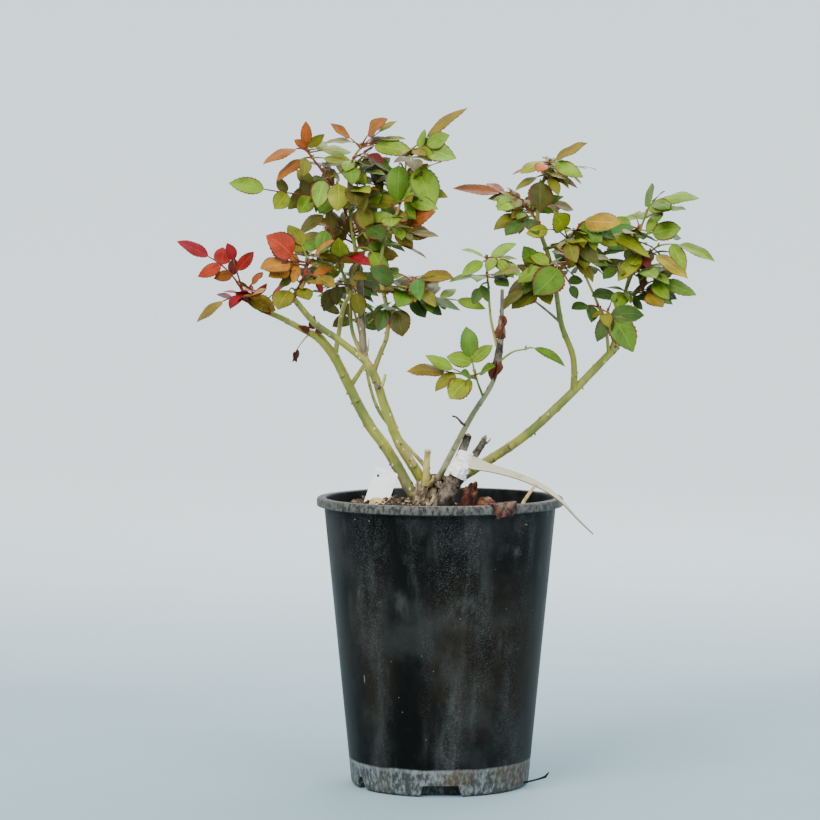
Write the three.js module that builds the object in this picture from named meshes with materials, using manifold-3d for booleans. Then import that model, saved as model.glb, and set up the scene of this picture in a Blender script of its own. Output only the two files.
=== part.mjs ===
import * as THREE from "three";
import { mergeVertices } from "three/addons/utils/BufferGeometryUtils.js";
import Module from "manifold-3d";

// A container-grown bush rose in its five litre pot, leaves half out in late summer.
// Millimetres. +X runs to the right of the front view, +Y to the back and +Z up.
// The origin is the centre of the pot's flat underside.

const wasm = await Module();
wasm.setup();

const clearance = 0.3; // between pieces that touch on the real plant

// Pot: a straight-sided moulded container with a rolled band round its mouth
const potHeight = 233;
const mouthRadius = 100;
const footRadius = 72;
const bandHeight = 7;
const bandOverhang = 6;
const wallThickness = 1.8;
const floorThickness = 3;
const footRounding = 3;
const potSegments = 36;
const notchTurns = [0, 120, 240]; // degrees round from the front
const notchHeight = 9;
const notchWidth = 34;
const notchTopWidth = 28;
const notchDepth = 14;
const archTurn = -61; // the small drain arch to the left of the front notch
const archHeight = 10;
const archWidth = 15;
const archTopWidth = 5;

// Compost: low at the wall, with a mound round the foot of the bush
const soilEdge = 217;
const moundTop = 225;
const moundAt = [-14, -9];
const moundFlat = 31; // radius of its level top
const moundFoot = 78; // radius at which it has run out
const soilRings = [92, 72, 52, 30, 0];

// Grafted foot of the bush, gnarled, with a flat cut on the compost
const unionX = -9;
const unionHeight = 26;
const unionFlareRadius = 18;
const unionTopRadius = 10.5;
const unionLean = 4;
const unionLobes = 5;
const unionLobeDepth = 0.09;

// Canes, boughs and stubs. Each grows from its parents, whose surface it meets, through two to
// seven stations, and tapers evenly from its foot to its tip.
const limbSides = 6;
const limbs = [
  { name: "left_cane", from: ["graft_union"], foot: 9.4, tip: 7.4, steps: 9,
    path: [[-15, 1, 230], [-22.5, 1.5, 236], [-33.7, 5, 255.6], [-45.7, 9, 274.8], [-55.9, 13, 288],
      [-66.2, 17, 306], [-74.7, 20, 323], [-86.9, 25, 346.6], [-102, 30, 365]] },
  { name: "left_branch", from: ["left_cane"], foot: 5.6, tip: 4.4, steps: 5,
    path: [[-99, 29, 361], [-112, 27, 368], [-131, 23, 378], [-145, 20, 384]] },
  { name: "left_spur", from: ["left_cane"], foot: 4.2, tip: 3.2, steps: 6,
    path: [[-86, 25, 343], [-83, 28, 362], [-78, 30, 388], [-68, 29, 402]] },
  { name: "middle_cane", from: ["graft_union"], foot: 8.8, tip: 6.8, steps: 9,
    path: [[-9, 0, 236], [-17, -6, 250.5], [-24.6, -9, 262.8], [-32, -12, 275], [-37.2, -14.5, 287],
      [-41.5, -17, 299], [-46, -19, 311], [-49.6, -20, 323], [-54.5, -20, 335], [-62, -20, 347]] },
  { name: "middle_leader", from: ["middle_cane"], foot: 6.4, tip: 5.2, steps: 6,
    path: [[-61, -19, 344], [-63, -13, 372], [-64, -8, 394], [-65, -5, 413]] },
  { name: "front_bough", from: ["middle_cane", "middle_leader"], foot: 5.8, tip: 4.6, steps: 6,
    path: [[-60, -20, 344], [-83, -29, 362], [-101, -33, 375], [-117, -34, 394]] },
  { name: "thin_stem", from: ["middle_cane", "middle_leader", "front_bough"], foot: 3.4, tip: 2.8, steps: 5,
    path: [[-61, -18, 345], [-71, -7, 368], [-72, 0, 400]] },
  { name: "right_bough", from: ["middle_cane"], foot: 4.2, tip: 3.2, steps: 7,
    path: [[-54, -20, 334], [-48, -23, 350], [-43, -28, 363], [-42, -30, 380], [-49, -33, 414]] },
  { name: "rear_cane", from: ["graft_union", "middle_cane", "left_cane"], foot: 3.4, tip: 2.6, steps: 9,
    path: [[-6, 3, 242], [-12, 12, 256], [-30, 26, 276], [-50, 36, 301], [-58, 42, 324], [-62, 50, 348]] },
  { name: "centre_cane", from: ["graft_union"], foot: 5.4, tip: 3, steps: 10,
    path: [[-6, -3, 240], [0, -10, 251], [24, -30, 298], [43, -38, 331], [48, -42, 364], [49, -42, 401]] },
  { name: "centre_shoot", from: ["centre_cane"], foot: 2.4, tip: 1.8, steps: 3,
    path: [[45, -40, 356], [40, -42, 378], [38, -42, 404]] },
  { name: "right_cane", from: ["graft_union", "centre_cane"], foot: 8.2, tip: 6.4, steps: 9,
    path: [[-4, 1, 236], [12, 5, 245], [37, 10, 260], [68, 18, 280], [104, 25, 312], [134, 34, 342], [146, 38, 354]] },
  { name: "right_leader", from: ["right_cane"], foot: 5.4, tip: 3, steps: 11,
    path: [[110, 26, 318], [109, 23, 345], [99, 15, 372], [94, 8, 400], [88, 4, 427], [79, 1, 456], [82, -1, 484]] },
  { name: "right_shoot", from: ["right_cane"], foot: 4, tip: 3, steps: 6,
    path: [[141, 36, 350], [148, 37, 374], [152, 36, 396], [157, 34, 416]] },
  { name: "right_spur", from: ["right_cane", "right_shoot"], foot: 2.8, tip: 2, steps: 5,
    path: [[139, 35, 347], [136, 28, 368], [129, 20, 388], [118, 10, 412]] },
  { name: "dead_twig", from: ["right_leader"], foot: 2.2, tip: 1.6, steps: 2,
    path: [[98, 14, 374], [85, 9, 385], [72, 4, 395]] },
  { name: "old_stub", from: ["graft_union"], foot: 16, tip: 12.6, steps: 4,
    path: [[-1, -19, moundTop - 6], [7, -20, 240], [18, -20, 256]] },
  { name: "cut_stub", from: ["old_stub"], foot: 8.4, tip: 6.6, steps: 3,
    path: [[13, -20, 253], [17, -20, 268], [22.5, -20, 284]] },
  { name: "dead_stub", from: ["old_stub", "cut_stub"], foot: 7.2, tip: 5.4, steps: 3,
    path: [[15, -17, 250], [26, -10, 264], [36, -5, 279]] },
  { name: "pale_stub", from: ["graft_union", "middle_cane"], foot: 5.8, tip: 5, steps: 2,
    path: [[-11, -9, 243], [-11, -12, 257], [-10, -13, 271]] },
];

// Leaves. A blade's length is its row's size times its letter's share, and its breadth is a
// share of that length. A dot in a pattern is a leaflet that has dropped.
const blades = {
  B: { share: 1, breadth: 0.64 },
  W: { share: 1, breadth: 0.8 },
  L: { share: 1.04, breadth: 0.46 },
  M: { share: 0.82, breadth: 0.6 },
  K: { share: 0.86, breadth: 0.45 },
  O: { share: 0.62, breadth: 0.85 },
  N: { share: 0.95, breadth: 0.36 },
  S: { share: 0.55, breadth: 0.58 },
};
const bladeStations = { full: [0.28, 0.68], spare: [0.44] }; // along the blade, foot to point
const bladeThickness = 0.8; // at the rib, at least
const pairSpacing = 0.3; // of the leaf's stalk, between one pair of leaflets and the next
const pairSpread = 58; // degrees, from the leaf's stalk
const petioleWidth = 2.1;
const petioleTaper = 0.85;
const stemSides = 5;
const lastShare = 0.96; // of a stem, where its end leaf springs
const degree = Math.PI / 180;

// Foliage. Each mass is one stem that meets its limb's tip or side, and the leaves on it.
// A leaf's row holds its place along the stem, the run of its stalk to the right, back and up,
// how far its end nods and its face turns to the front in degrees, its blade size, and its
// leaflets: the end one, then the pairs from the tip down, left before right. Past those rows a
// mass carries `more` leaves, by the seeded rule, on its far and near sides.
const masses = [
  { name: "red_spray", on: "left_branch", foot: 4, tip: 2, seed: 11, more: 3, room: 78,
    stem: [[-146, 20, 384.6], [-154, 18, 389], [-160, 15, 398]],
    leaves: [
      [1, -28, -7, 30, 20, 55, 27, "LKOSS"],
      [1, -8, -5, 27, -4, 50, 26, "S.K"],
      [0.4, -23, -8, 3, 34, 34, 27, "L.S"],
      [0.75, 3, -10, 3, 6, 46, 30, "B.S"],
      [0.3, 15, -8, 9, -20, 40, 21, "N"],
      [0.95, 7, -8, 8, -6, 45, 15, "M.S"],
      [0.9, 8, 4, 12, 8, 40, 12, "M"],
    ] },
  { name: "salmon_spray", on: "front_bough", foot: 4, tip: 2, seed: 23, more: 3, room: 70,
    stem: [[-117.4, -34, 394.6], [-110, -38, 408], [-105, -36, 424]],
    leaves: [
      [0.98, -12, -10, 5, -24, 76, 26, "W"],
      [0.98, -14, -9, 1, 0, 50, 22, "N"],
      [0.88, -13, -11, 1, 6, 60, 27, "B"],
      [0.88, 5, -9, 6, -4, 40, 27, "L"],
      [1, -5, 6, 13, 10, 25, 23, "BMM"],
      [0.15, -5, -12, 2, 45, 80, 21, "W"],
      [0.3, 3, -12, 0, 24, 74, 21, "B"],
      [0.8, 8, -3, -11, 10, 40, 13, "MS."],
      [0.65, 10, -9, -2, 12, 55, 20, "BM."],
    ] },
  { name: "amber_spray", on: "thin_stem", foot: 2.6, tip: 1.6, seed: 31, more: 4, room: 64,
    stem: [[-72, 0.2, 400.4], [-80, -9, 418], [-84, -12, 434]],
    leaves: [
      [0.6, 0, -12, 6, -10, 72, 24, "BMB"],
      [0.1, -12, -6, -2, 55, 60, 20, "BM."],
      [0.06, 5, -12, -4, 55, 60, 20, "B"],
      [1, -8, -14, 16, 64, 76, 20, "B"],
      [0.8, 10, -14, 2, 16, 60, 31, "N"],
    ] },
  { name: "top_left_spray", on: "left_spur", foot: 3, tip: 1.6, seed: 47, more: 4, room: 97,
    stem: [[-67.6, 29, 402.5], [-70, 22, 438], [-81, 9, 474], [-95, 1, 496], [-111, -2, 517]],
    leaves: [
      [1, 0, -2, 4, -8, 58, 20, "LSK"],
      [0.94, 11, 4, 2, 6, 40, 25, "LK."],
      [0.96, -8, -5, 1, 22, 34, 31, "L"],
      [0.9, -8, -4, -1, 24, 34, 28, "LK."],
      [0.97, 8, -5, 1, 2, 22, 30, "N"],
      [0.9, 9, -4, 0, 8, 30, 26, "L"],
      [0.6, -60, -10, 6, -4, 80, 28, "LOSOSO."],
      [0.55, -15, -10, -9, 6, 50, 25, "LK."],
      [0.64, 2, -20, 6, 62, 80, 22, "W"],
      [0.66, -8, -16, 6, 58, 70, 26, "B"],
      [0.28, -20, -6, 6, 14, 35, 26, "LK."],
    ] },
  { name: "top_centre_spray", on: "middle_leader", foot: 3.6, tip: 1.6, seed: 53, more: 5, room: 84,
    stem: [[-65, -5, 413.6], [-71, -4, 450], [-74, -2, 485], [-70, 0, 506], [-61, 0, 519]],
    leaves: [
      [1, 5, -4, 9, 10, 42, 21, "W"],
      [1, -7, -3, 4, 24, 34, 21, "L"],
      [0.98, 16, -2, 6, 12, 25, 19, "L"],
      [0.95, 11, -4, 2, 14, 40, 32, "LS."],
      [0.9, -6, -15, 6, 44, 55, 28, "B"],
      [0.85, 12, -8, 4, 30, 50, 21, "MS."],
      [0.8, 1, -17, 0, 30, 55, 24, "BM."],
      [0.74, 12, -8, 2, 10, 40, 24, "KMK"],
      [0.62, 6, -14, 1, 4, 25, 25, "BK."],
      [0.62, 8, -19, 2, 60, 78, 22, "B"],
      [0.52, 10, -14, -2, 62, 80, 22, "B"],
      [0.32, 13, -20, 2, 16, 46, 25, "BM."],
      [0.18, 14, -12, -2, 36, 62, 24, "BS."],
    ] },
  { name: "top_right_spray", on: "right_bough", foot: 2.8, tip: 1.6, seed: 61, more: 4, room: 98,
    stem: [[-49, -33, 414.4], [-44, -29, 443], [-34, -22, 464], [-29, -16, 486], [-27, -9, 515]],
    leaves: [
      [1, 16, -4, 12, -6, 42, 42, "N.K"],
      [0.8, -5, -10, 6, 78, 84, 28, "B"],
      [0.76, 10, -10, 8, 56, 80, 36, "B"],
      [0.6, 12, -4, 18, 0, 50, 17, "MMM"],
      [0.45, 9, -8, -4, -34, 55, 28, "B"],
      [0.4, 0, -13, 4, 26, 60, 28, "BM."],
      [0.3, 20, -2, 1, 2, 22, 25, "KKS"],
      [0.2, 14, -4, 1, 22, 20, 24, "NS."],
    ] },
  { name: "low_green_spray", on: "right_bough", foot: 2.6, tip: 1.6, seed: 71, more: 3, room: 72,
    stem: [[-42, -30, 380], [-36, -34, 388], [-27, -36, 400], [-19, -36, 410]],
    leaves: [
      [1, 4, -3, 1, 8, 40, 28, "L.L"],
      [0.75, -12, -9, 4, -16, 66, 24, "B"],
      [0.7, -2, -9, 0, 20, 70, 26, "B"],
      [0.5, 20, -6, 0, 8, 40, 28, "LK."],
      [0.5, 44, -6, -2, 6, 40, 24, "LKSKM"],
      [0.2, -7, -9, -2, 50, 70, 22, "MS."],
      [0.28, 2, -10, -3, 50, 80, 22, "W"],
      [0.9, -12, 10, 7, 10, 40, 20, "MS."],
    ] },
  { name: "rear_left_spray", on: "rear_cane", foot: 2.6, tip: 1.6, seed: 83, more: 8, room: 84,
    stem: [[-62, 50.2, 348.5], [-70, 62, 380], [-80, 72, 412], [-84, 76, 446]],
    leaves: [] },
  { name: "right_top_spray", on: "right_leader", foot: 2.8, tip: 1.5, seed: 97, more: 3, room: 64,
    stem: [[82, -1, 484.4], [86, -2, 497], [89, -2, 504]],
    leaves: [
      [1, 4, -2, 2, -6, 40, 28, "L"],
      [0.98, 4, -3, 0, 22, 50, 28, "L"],
      [0.95, -5, -4, 0, 14, 45, 24, "L"],
      [0.9, -4, -8, -1, 10, 50, 13, "W"],
      [0.62, -8, -4, 1, 6, 20, 23, "N"],
      [0.45, -7, -4, -2, 6, 26, 24, "N"],
      [0.5, 3, -3, 0, 12, 25, 19, "N"],
      [0.35, 3, -4, -1, 30, 35, 19, "L"],
    ] },
  { name: "rust_spray", on: "right_leader", foot: 2.6, tip: 1.5, seed: 101, more: 3, room: 74,
    stem: [[79, 1, 456], [71, 6, 466], [65, 8, 474], [57, 9, 480]],
    leaves: [
      [1, -11, -3, 0, -12, 35, 38, "N.S"],
      [0.45, 3, 8, -4, -40, 80, 30, "W"],
      [0.8, -4, -8, -2, 10, 66, 24, "B"],
      [0.4, -4, -9, -3, 0, 60, 17, "M"],
      [0.2, -8, -11, -5, 4, 42, 25, "BM."],
      [0.3, 11, 7, 5, 20, 60, 20, "M"],
    ] },
  { name: "gold_spray", on: "right_leader", foot: 2.6, tip: 1.5, seed: 113, more: 5, room: 72,
    stem: [[86, 3, 434], [97, -6, 437], [107, -8, 445], [112, -8, 452]],
    leaves: [
      [1, 5, -4, 5, 28, 60, 32, "B.M"],
      [0.9, 12, -6, 0, 10, 50, 20, "BM."],
      [0.6, -3, -10, 8, 10, 70, 22, "W"],
      [0.5, 3, -12, 0, 46, 78, 21, "B"],
      [0.3, 27, -6, -8, -4, 30, 22, "MMM.M"],
      [0.2, 16, -8, -10, 6, 34, 24, "BM."],
      [0.15, 10, -10, -3, 20, 60, 19, "MM."],
    ] },
  { name: "core_spray", on: "right_leader", foot: 2.6, tip: 1.5, seed: 127, more: 3, room: 64,
    stem: [[91, 6, 410], [98, -4, 417], [103, -10, 424]],
    leaves: [
      [1, -7, -5, -6, 4, 82, 30, "W"],
      [0.2, -13, -6, 6, -34, 70, 22, "BB."],
      [0.9, 3, -12, 0, 70, 76, 22, "B"],
      [0.3, -17, -10, -12, 4, 30, 28, "BM."],
      [0.3, -27, -12, -13, 4, 34, 26, "L"],
      [0.5, 8, -5, -12, 20, 60, 15, "MM."],
    ] },
  { name: "low_right_spray", on: "right_spur", foot: 2.2, tip: 1.5, seed: 139, more: 1, room: 62,
    stem: [[131, 22, 384], [129, 10, 386], [136, -1, 382]],
    leaves: [
      [1, 3, -3, -3, 26, 70, 32, "BMM"],
      [0.95, 3, -2, 8, 0, 55, 18, "S"],
      [0.45, -9, -8, 2, 12, 55, 21, "MM."],
      [0.6, 2, -10, -4, 10, 60, 21, "M.S"],
    ] },
  { name: "rear_right_spray", on: "right_spur", foot: 2, tip: 1.5, seed: 149, more: 6, room: 76,
    stem: [[117.8, 10.2, 412.4], [116, 28, 424], [118, 46, 436]],
    leaves: [] },
  { name: "far_top_spray", on: "right_shoot", foot: 2.8, tip: 1.6, seed: 151, more: 3, room: 78,
    stem: [[157, 34, 416.5], [161, 30, 438], [165, 26, 453], [168, 23, 461]],
    leaves: [
      [0.98, 11, -5, 14, 34, 24, 33, "LSKKK"],
      [0.7, -7, 4, 4, 16, 30, 25, "LK."],
      [0.55, -4, -12, 5, 14, 40, 32, "LL."],
    ] },
  { name: "far_right_spray", on: "right_shoot", foot: 2.4, tip: 1.5, seed: 163, more: 2, room: 74,
    stem: [[154, 35, 403], [160, 24, 418], [170, 16, 430], [178, 10, 437]],
    leaves: [
      [1, 17, -4, 1, 14, 44, 31, "L.K"],
      [0.78, 5, -4, -2, 14, 50, 31, "L"],
      [0.8, -9, -8, -2, 26, 55, 30, "LS."],
      [0.4, -5, -12, 4, 24, 55, 24, "LS."],
      [0.55, -4, -7, 6, -10, 60, 19, "M"],
      [0.5, 2, -8, -5, 70, 40, 19, "N"],
      [0.3, -20, -2, 6, 6, 50, 20, "MM."],
    ] },
  { name: "low_far_spray", on: "right_shoot", foot: 2.2, tip: 1.5, seed: 173, more: 2, room: 68,
    stem: [[150, 36, 388], [158, 26, 397], [166, 20, 402]],
    leaves: [
      [1, 13, -6, 6, 30, 45, 30, "LMK"],
      [0.8, 7, -12, -2, 14, 55, 23, "BM."],
      [0.3, -9, -10, 3, 6, 50, 26, "BS."],
    ] },
  { name: "pale_spray", on: "centre_shoot", foot: 1.8, tip: 1.3, seed: 181, more: 1, room: 66,
    stem: [[38, -42, 404.4], [37, -42, 412], [36.5, -42, 427]],
    leaves: [
      [1, 3, -1, 1, -14, 50, 24, "L"],
      [1, -2, -1, 1, 4, 30, 20, "N"],
      [0.88, -3, -2, -1, 16, 50, 22, "L"],
      [0.88, 4, -2, -1, 6, 40, 26, "L"],
      [0.4, 4, -6, 0, -14, 45, 31, "L"],
      [0.3, 6, -8, -1, 10, 50, 20, "MM."],
      [0.35, -8, -4, 0, 4, 12, 25, "NM."],
      [0.1, -7, -8, -4, 40, 70, 18, "MM."],
    ] },
  { name: "centre_low_spray", on: "centre_cane", foot: 2.2, tip: 1.5, seed: 191, more: 1, room: 64,
    stem: [[34, -34, 316], [30, -46, 326], [27, -52, 335]],
    leaves: [
      [1, -3, -2, 14, 0, 60, 24, "BMK"],
      [0.9, -24, -4, 4, -2, 45, 31, "LK."],
      [0.8, -8, -8, -1, 30, 80, 22, "WS."],
      [0.95, 4, -6, 2, -10, 55, 22, "M"],
      [0.85, -18, -6, 7, -6, 55, 24, "L"],
      [0.8, -5, -8, 3, 0, 60, 16, "M"],
    ] },
  { name: "centre_right_leaf", on: "centre_cane", foot: 1.8, tip: 1.3, seed: 197, more: 0, room: 60,
    stem: [[48, -42, 345], [58, -45, 352], [68, -46, 354]],
    leaves: [
      [1, 7, -2, 1, 24, 45, 29, "N"],
    ] },
];

// The seeded rule for the leaves that the rows don't give
const moreRule = {
  from: 0.12,
  to: 0.95,
  backTurn: 58, // degrees either side of straight back
  frontTurn: 34,
  frontEvery: 4, // one leaf in four comes forward
  rise: [-8, 34],
  run: [20, 38],
  nod: [4, 34],
  face: [-46, 14],
  size: [21, 28],
  patterns: ["LMKMK", "BMM", "LKK"],
};

// Labels and what lies on the compost
const labelWidth = 19;
const labelHeight = 31;
const labelThickness = 0.8;
const labelCorner = 2;
const labelSlot = [0.9, 1.6]; // half its breadth and half its length
const labelAt = [-52.5, -32, 227.4];
const labelLean = 19; // degrees, to the right
const labelYaw = -12;
const ribbonWidth = 5.6;
const ribbonThickness = 0.7;
const ribbonTurn = [20, 70]; // degrees from upright, at its collar and at its tip
const ribbonSteps = 12;
const ribbonPath = [[26, -25, 262], [42, -28, 257.5], [66, -33, 250.5], [85, -38, 241.5], [96, -41, 233],
  [109, -39, 219], [122, -36, 206]];
const collarRadius = 7.8;
const collarHeight = 17;
const collarAt = [21, -20, 262.5];
const flakeSize = [13, 7, 25];
const flakeAt = [23, -33, 237.6];
const flakeLean = 20;
const nutSize = [17, 14, 14];
const nutAt = [37, -33, 229.8];
const letDownSteps = 12;
const letDownReach = 20;
const rimLeafAngle = -58.7; // round the mouth, from the right
const rimLeafWidth = 20;
const rimLeafDrop = 13;
const rimLeafThickness = 1.1;

// Moves a vertex list through a function of its coordinates.
function reshape(geometry, move) {
  const position = geometry.getAttribute("position");
  const v = new THREE.Vector3();
  for (let i = 0; i < position.count; i++) {
    v.fromBufferAttribute(position, i);
    move(v);
    position.setXYZ(i, v.x, v.y, v.z);
  }
  return geometry;
}

// A closed geometry as a solid that can be cut and joined.
function solidOf(geometry) {
  const bare = geometry.clone();
  bare.deleteAttribute("normal");
  bare.deleteAttribute("uv");
  const merged = mergeVertices(bare, 1e-4);
  return new wasm.Manifold(new wasm.Mesh({
    numProp: 3,
    vertProperties: new Float32Array(merged.attributes.position.array),
    triVerts: new Uint32Array(merged.index.array),
  }));
}

// The largest body of a solid, as a geometry, with slivers left by the joining tidied away.
function geometryOf(solid) {
  const bodies = solid.simplify(0.02).decompose().filter((body) => body.volume() > 0);
  bodies.sort((a, b) => b.volume() - a.volume());
  const mesh = bodies[0].getMesh();
  const count = mesh.vertProperties.length / mesh.numProp;
  const positions = new Float32Array(count * 3);
  for (let i = 0; i < count; i++) {
    positions.set(mesh.vertProperties.subarray(i * mesh.numProp, i * mesh.numProp + 3), i * 3);
  }
  const geometry = new THREE.BufferGeometry();
  geometry.setAttribute("position", new THREE.BufferAttribute(positions, 3));
  geometry.setIndex(new THREE.BufferAttribute(new Uint32Array(mesh.triVerts), 1));
  const shaded = geometry.toNonIndexed();
  shaded.computeVertexNormals();
  return shaded;
}

function meshOf(name, geometry, colour, roughness) {
  const material = new THREE.MeshStandardMaterial({ color: colour, roughness, metalness: 0 });
  const mesh = new THREE.Mesh(geometry, material);
  mesh.name = name;
  return mesh;
}

const point = (p) => new THREE.Vector3(...p);
const curveOf = (path) => new THREE.CatmullRomCurve3(path.map(point), false, "centripetal");

// A closed bar bent along a curve through its stations, tapering from one diameter to another.
function taperedBar(curve, foot, tip, sides, stations) {
  const last = stations.length - 1;
  let side = new THREE.Vector3(0.3, 1, 0.2);
  const rings = stations.map((t) => {
    const way = curve.getTangent(t);
    side = side.clone().projectOnPlane(way).normalize();
    return { place: curve.getPoint(t), side, across: new THREE.Vector3().crossVectors(side, way) };
  });
  const bar = new THREE.CylinderGeometry(tip / 2, foot / 2, 1, sides, last);
  return reshape(bar, (v) => {
    const ring = rings[Math.round((v.y + 0.5) * last)];
    v.copy(ring.place.clone().addScaledVector(ring.side, v.x).addScaledVector(ring.across, v.z));
  });
}

const evenly = (steps) => Array.from({ length: steps + 1 }, (_, i) => i / steps);

// Park and Miller's sequence, from 0 to 1.
function seeded(seed) {
  let state = seed * 7919 + 17;
  return () => {
    state = (state * 16807) % 2147483647;
    return state / 2147483647;
  };
}

const between = (random, [low, high]) => low + (high - low) * random();

// Cutter for an opening in the foot of the pot, turned round to its place.
function footCutter(width, topWidth, height, turn) {
  const outline = new THREE.Shape([
    new THREE.Vector2(-width / 2, -1),
    new THREE.Vector2(width / 2, -1),
    new THREE.Vector2(topWidth / 2, height),
    new THREE.Vector2(-topWidth / 2, height),
  ]);
  const cutter = new THREE.ExtrudeGeometry(outline, { depth: notchDepth * 2, bevelEnabled: false });
  cutter.rotateX(Math.PI / 2);
  cutter.translate(0, -footRadius + notchDepth, 0);
  cutter.rotateZ(turn * degree);
  return solidOf(cutter);
}

// Pot with its band, tapering wall, rounded foot and the drainage notches round it.
function potSolid() {
  const wallTop = mouthRadius - bandOverhang;
  const inner = wallTop - wallThickness;
  const profile = [
    [0, 0], [footRadius - footRounding, 0], [footRadius, footRounding],
    [wallTop, potHeight - bandHeight - 1], [mouthRadius - 1, potHeight - bandHeight],
    [mouthRadius, potHeight - bandHeight + 1.5], [mouthRadius, potHeight - 1.5],
    [mouthRadius - 1.5, potHeight], [inner + 1, potHeight], [inner, potHeight - 2],
    [footRadius - wallThickness, floorThickness + notchHeight], [0, floorThickness + notchHeight],
  ].map(([r, z]) => new THREE.Vector2(r, z));
  const body = new THREE.LatheGeometry(profile, potSegments);
  body.rotateX(Math.PI / 2);
  let pot = solidOf(body);
  for (const turn of notchTurns) {
    pot = pot.subtract(footCutter(notchWidth, notchTopWidth, notchHeight, turn));
  }
  pot = pot.subtract(footCutter(archWidth, archTopWidth, archHeight, archTurn));
  return pot;
}

// How high the compost stands over a point of the pot.
function soilAt(x, y) {
  const away = Math.hypot(x - moundAt[0], y - moundAt[1]);
  const share = Math.min(1, Math.max(0, (away - moundFlat) / (moundFoot - moundFlat)));
  return moundTop + (soilEdge - moundTop) * share * share * (3 - 2 * share);
}

// Compost that fills the pot and stands up in a mound round the bush.
function soilSolid() {
  const floor = floorThickness + notchHeight;
  const slope = (mouthRadius - bandOverhang - footRadius) / (potHeight - 2 - floor);
  const wallAt = (z) => footRadius - wallThickness + slope * (z - floor) - 1.5 * clearance;
  const bottom = floor + clearance;
  const edge = wallAt(soilEdge);
  const profile = [new THREE.Vector2(0, bottom), new THREE.Vector2(wallAt(bottom), bottom)];
  for (const ring of soilRings) profile.push(new THREE.Vector2(Math.min(ring, edge), soilEdge));
  const fill = new THREE.LatheGeometry(profile, potSegments).rotateX(Math.PI / 2);
  reshape(fill, (v) => {
    if (v.z > bottom + 1) v.z = soilAt(v.x, v.y);
  });
  return solidOf(fill);
}

// Gnarled foot of the bush, with lobes where old wood has healed over, or its envelope.
function unionSolid(grow) {
  const block = new THREE.CylinderGeometry(1, 1, 1, 18, 5);
  const foot = moundTop + clearance - grow;
  reshape(block, (v) => {
    const share = v.y + 0.5;
    const angle = Math.atan2(-v.z, v.x);
    const taper = unionTopRadius + (unionFlareRadius - unionTopRadius) * (1 - share) ** 1.8;
    const lobe = 1 + unionLobeDepth * Math.sin(unionLobes * angle + 2 * share);
    const shoulder = Math.sqrt(1 - 8 * Math.max(0, share - 0.75) ** 2);
    const radius = Math.hypot(v.x, v.z) * (taper * lobe * shoulder + grow);
    v.set(
      unionX + unionLean * share + radius * Math.cos(angle),
      radius * Math.sin(angle),
      foot + share * (unionHeight + 2 * grow),
    );
  });
  return solidOf(block);
}

// A limb's solid, or its envelope a clearance larger all round.
function limbSolid(limb, grow) {
  const curve = curveOf(limb.path);
  const bar = taperedBar(curve, limb.foot + 2 * grow, limb.tip + 2 * grow, limbSides, evenly(limb.steps));
  return solidOf(bar);
}

// A blade's three corners at a share of its length: its raised margins, left and right, and its
// rib, a keel below them. The blade's point droops.
function bladeCorners(leaflet, u) {
  const { base, along, face, length, breadth, fold, droop } = leaflet;
  const across = new THREE.Vector3().crossVectors(face, along);
  const width = bladeHalfWidth(u) * breadth * length;
  const keel = Math.min(0, fold * width - bladeThickness);
  const rib = base.clone().addScaledVector(along, u * length).addScaledVector(face, -droop * u * u * length);
  return [
    rib.clone().addScaledVector(across, width).addScaledVector(face, fold * width),
    rib.clone().addScaledVector(across, -width).addScaledVector(face, fold * width),
    rib.clone().addScaledVector(face, keel),
  ];
}

const bladePoint = (leaflet) => leaflet.base.clone().addScaledVector(leaflet.along, leaflet.length)
  .addScaledVector(leaflet.face, -leaflet.droop * leaflet.length);

// A closed three-sided solid through rings of left, right and lower corners. Its ends are a
// point or flat.
function threeSided(rings, footPoint, endPoint) {
  const corners = rings.flat();
  const faces = [];
  for (let k = 0; k + 3 < corners.length; k += 3) {
    const [l1, r1, b1, l2, r2, b2] = [k, k + 1, k + 2, k + 3, k + 4, k + 5];
    faces.push([r1, r2, l2], [r1, l2, l1], [l1, l2, b2], [l1, b2, b1], [b1, b2, r2], [b1, r2, r1]);
  }
  const [l, r, b] = [-3, -2, -1].map((k) => corners.length + k);
  if (footPoint) {
    const foot = corners.push(footPoint) - 1;
    faces.push([foot, 1, 0], [foot, 0, 2], [foot, 2, 1]);
  } else {
    faces.push([0, 2, 1]);
  }
  if (endPoint) {
    const end = corners.push(endPoint) - 1;
    faces.push([r, end, l], [l, end, b], [b, end, r]);
  } else {
    faces.push([l, r, b]);
  }
  const geometry = new THREE.BufferGeometry().setFromPoints(corners);
  return solidOf(geometry.setIndex(faces.flat()));
}

function bladeSolid(leaflet) {
  const stations = leaflet.spare ? bladeStations.spare : bladeStations.full;
  return threeSided(stations.map((u) => bladeCorners(leaflet, u)), leaflet.base, bladePoint(leaflet));
}

// A leaf's stalk, running on into its end blade where it has one.
function stalkSolid(stalk, facing, endLeaflet, spare) {
  const rings = evenly(spare ? 1 : 2).map((t) => {
    const way = stalk.getTangent(t);
    const face = facing.clone().projectOnPlane(way).normalize();
    const left = new THREE.Vector3().crossVectors(face, way);
    const half = (petioleWidth / 2) * (1 - (1 - petioleTaper) * t);
    const top = stalk.getPoint(t).addScaledVector(face, half / 2);
    return [
      top.clone().addScaledVector(left, half),
      top.clone().addScaledVector(left, -half),
      top.clone().addScaledVector(face, -1.5 * half),
    ];
  });
  if (!endLeaflet) return threeSided(rings, null, null);
  const stations = endLeaflet.spare ? bladeStations.spare : bladeStations.full;
  for (const u of stations) rings.push(bladeCorners(endLeaflet, u));
  return threeSided(rings, null, bladePoint(endLeaflet));
}

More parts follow.
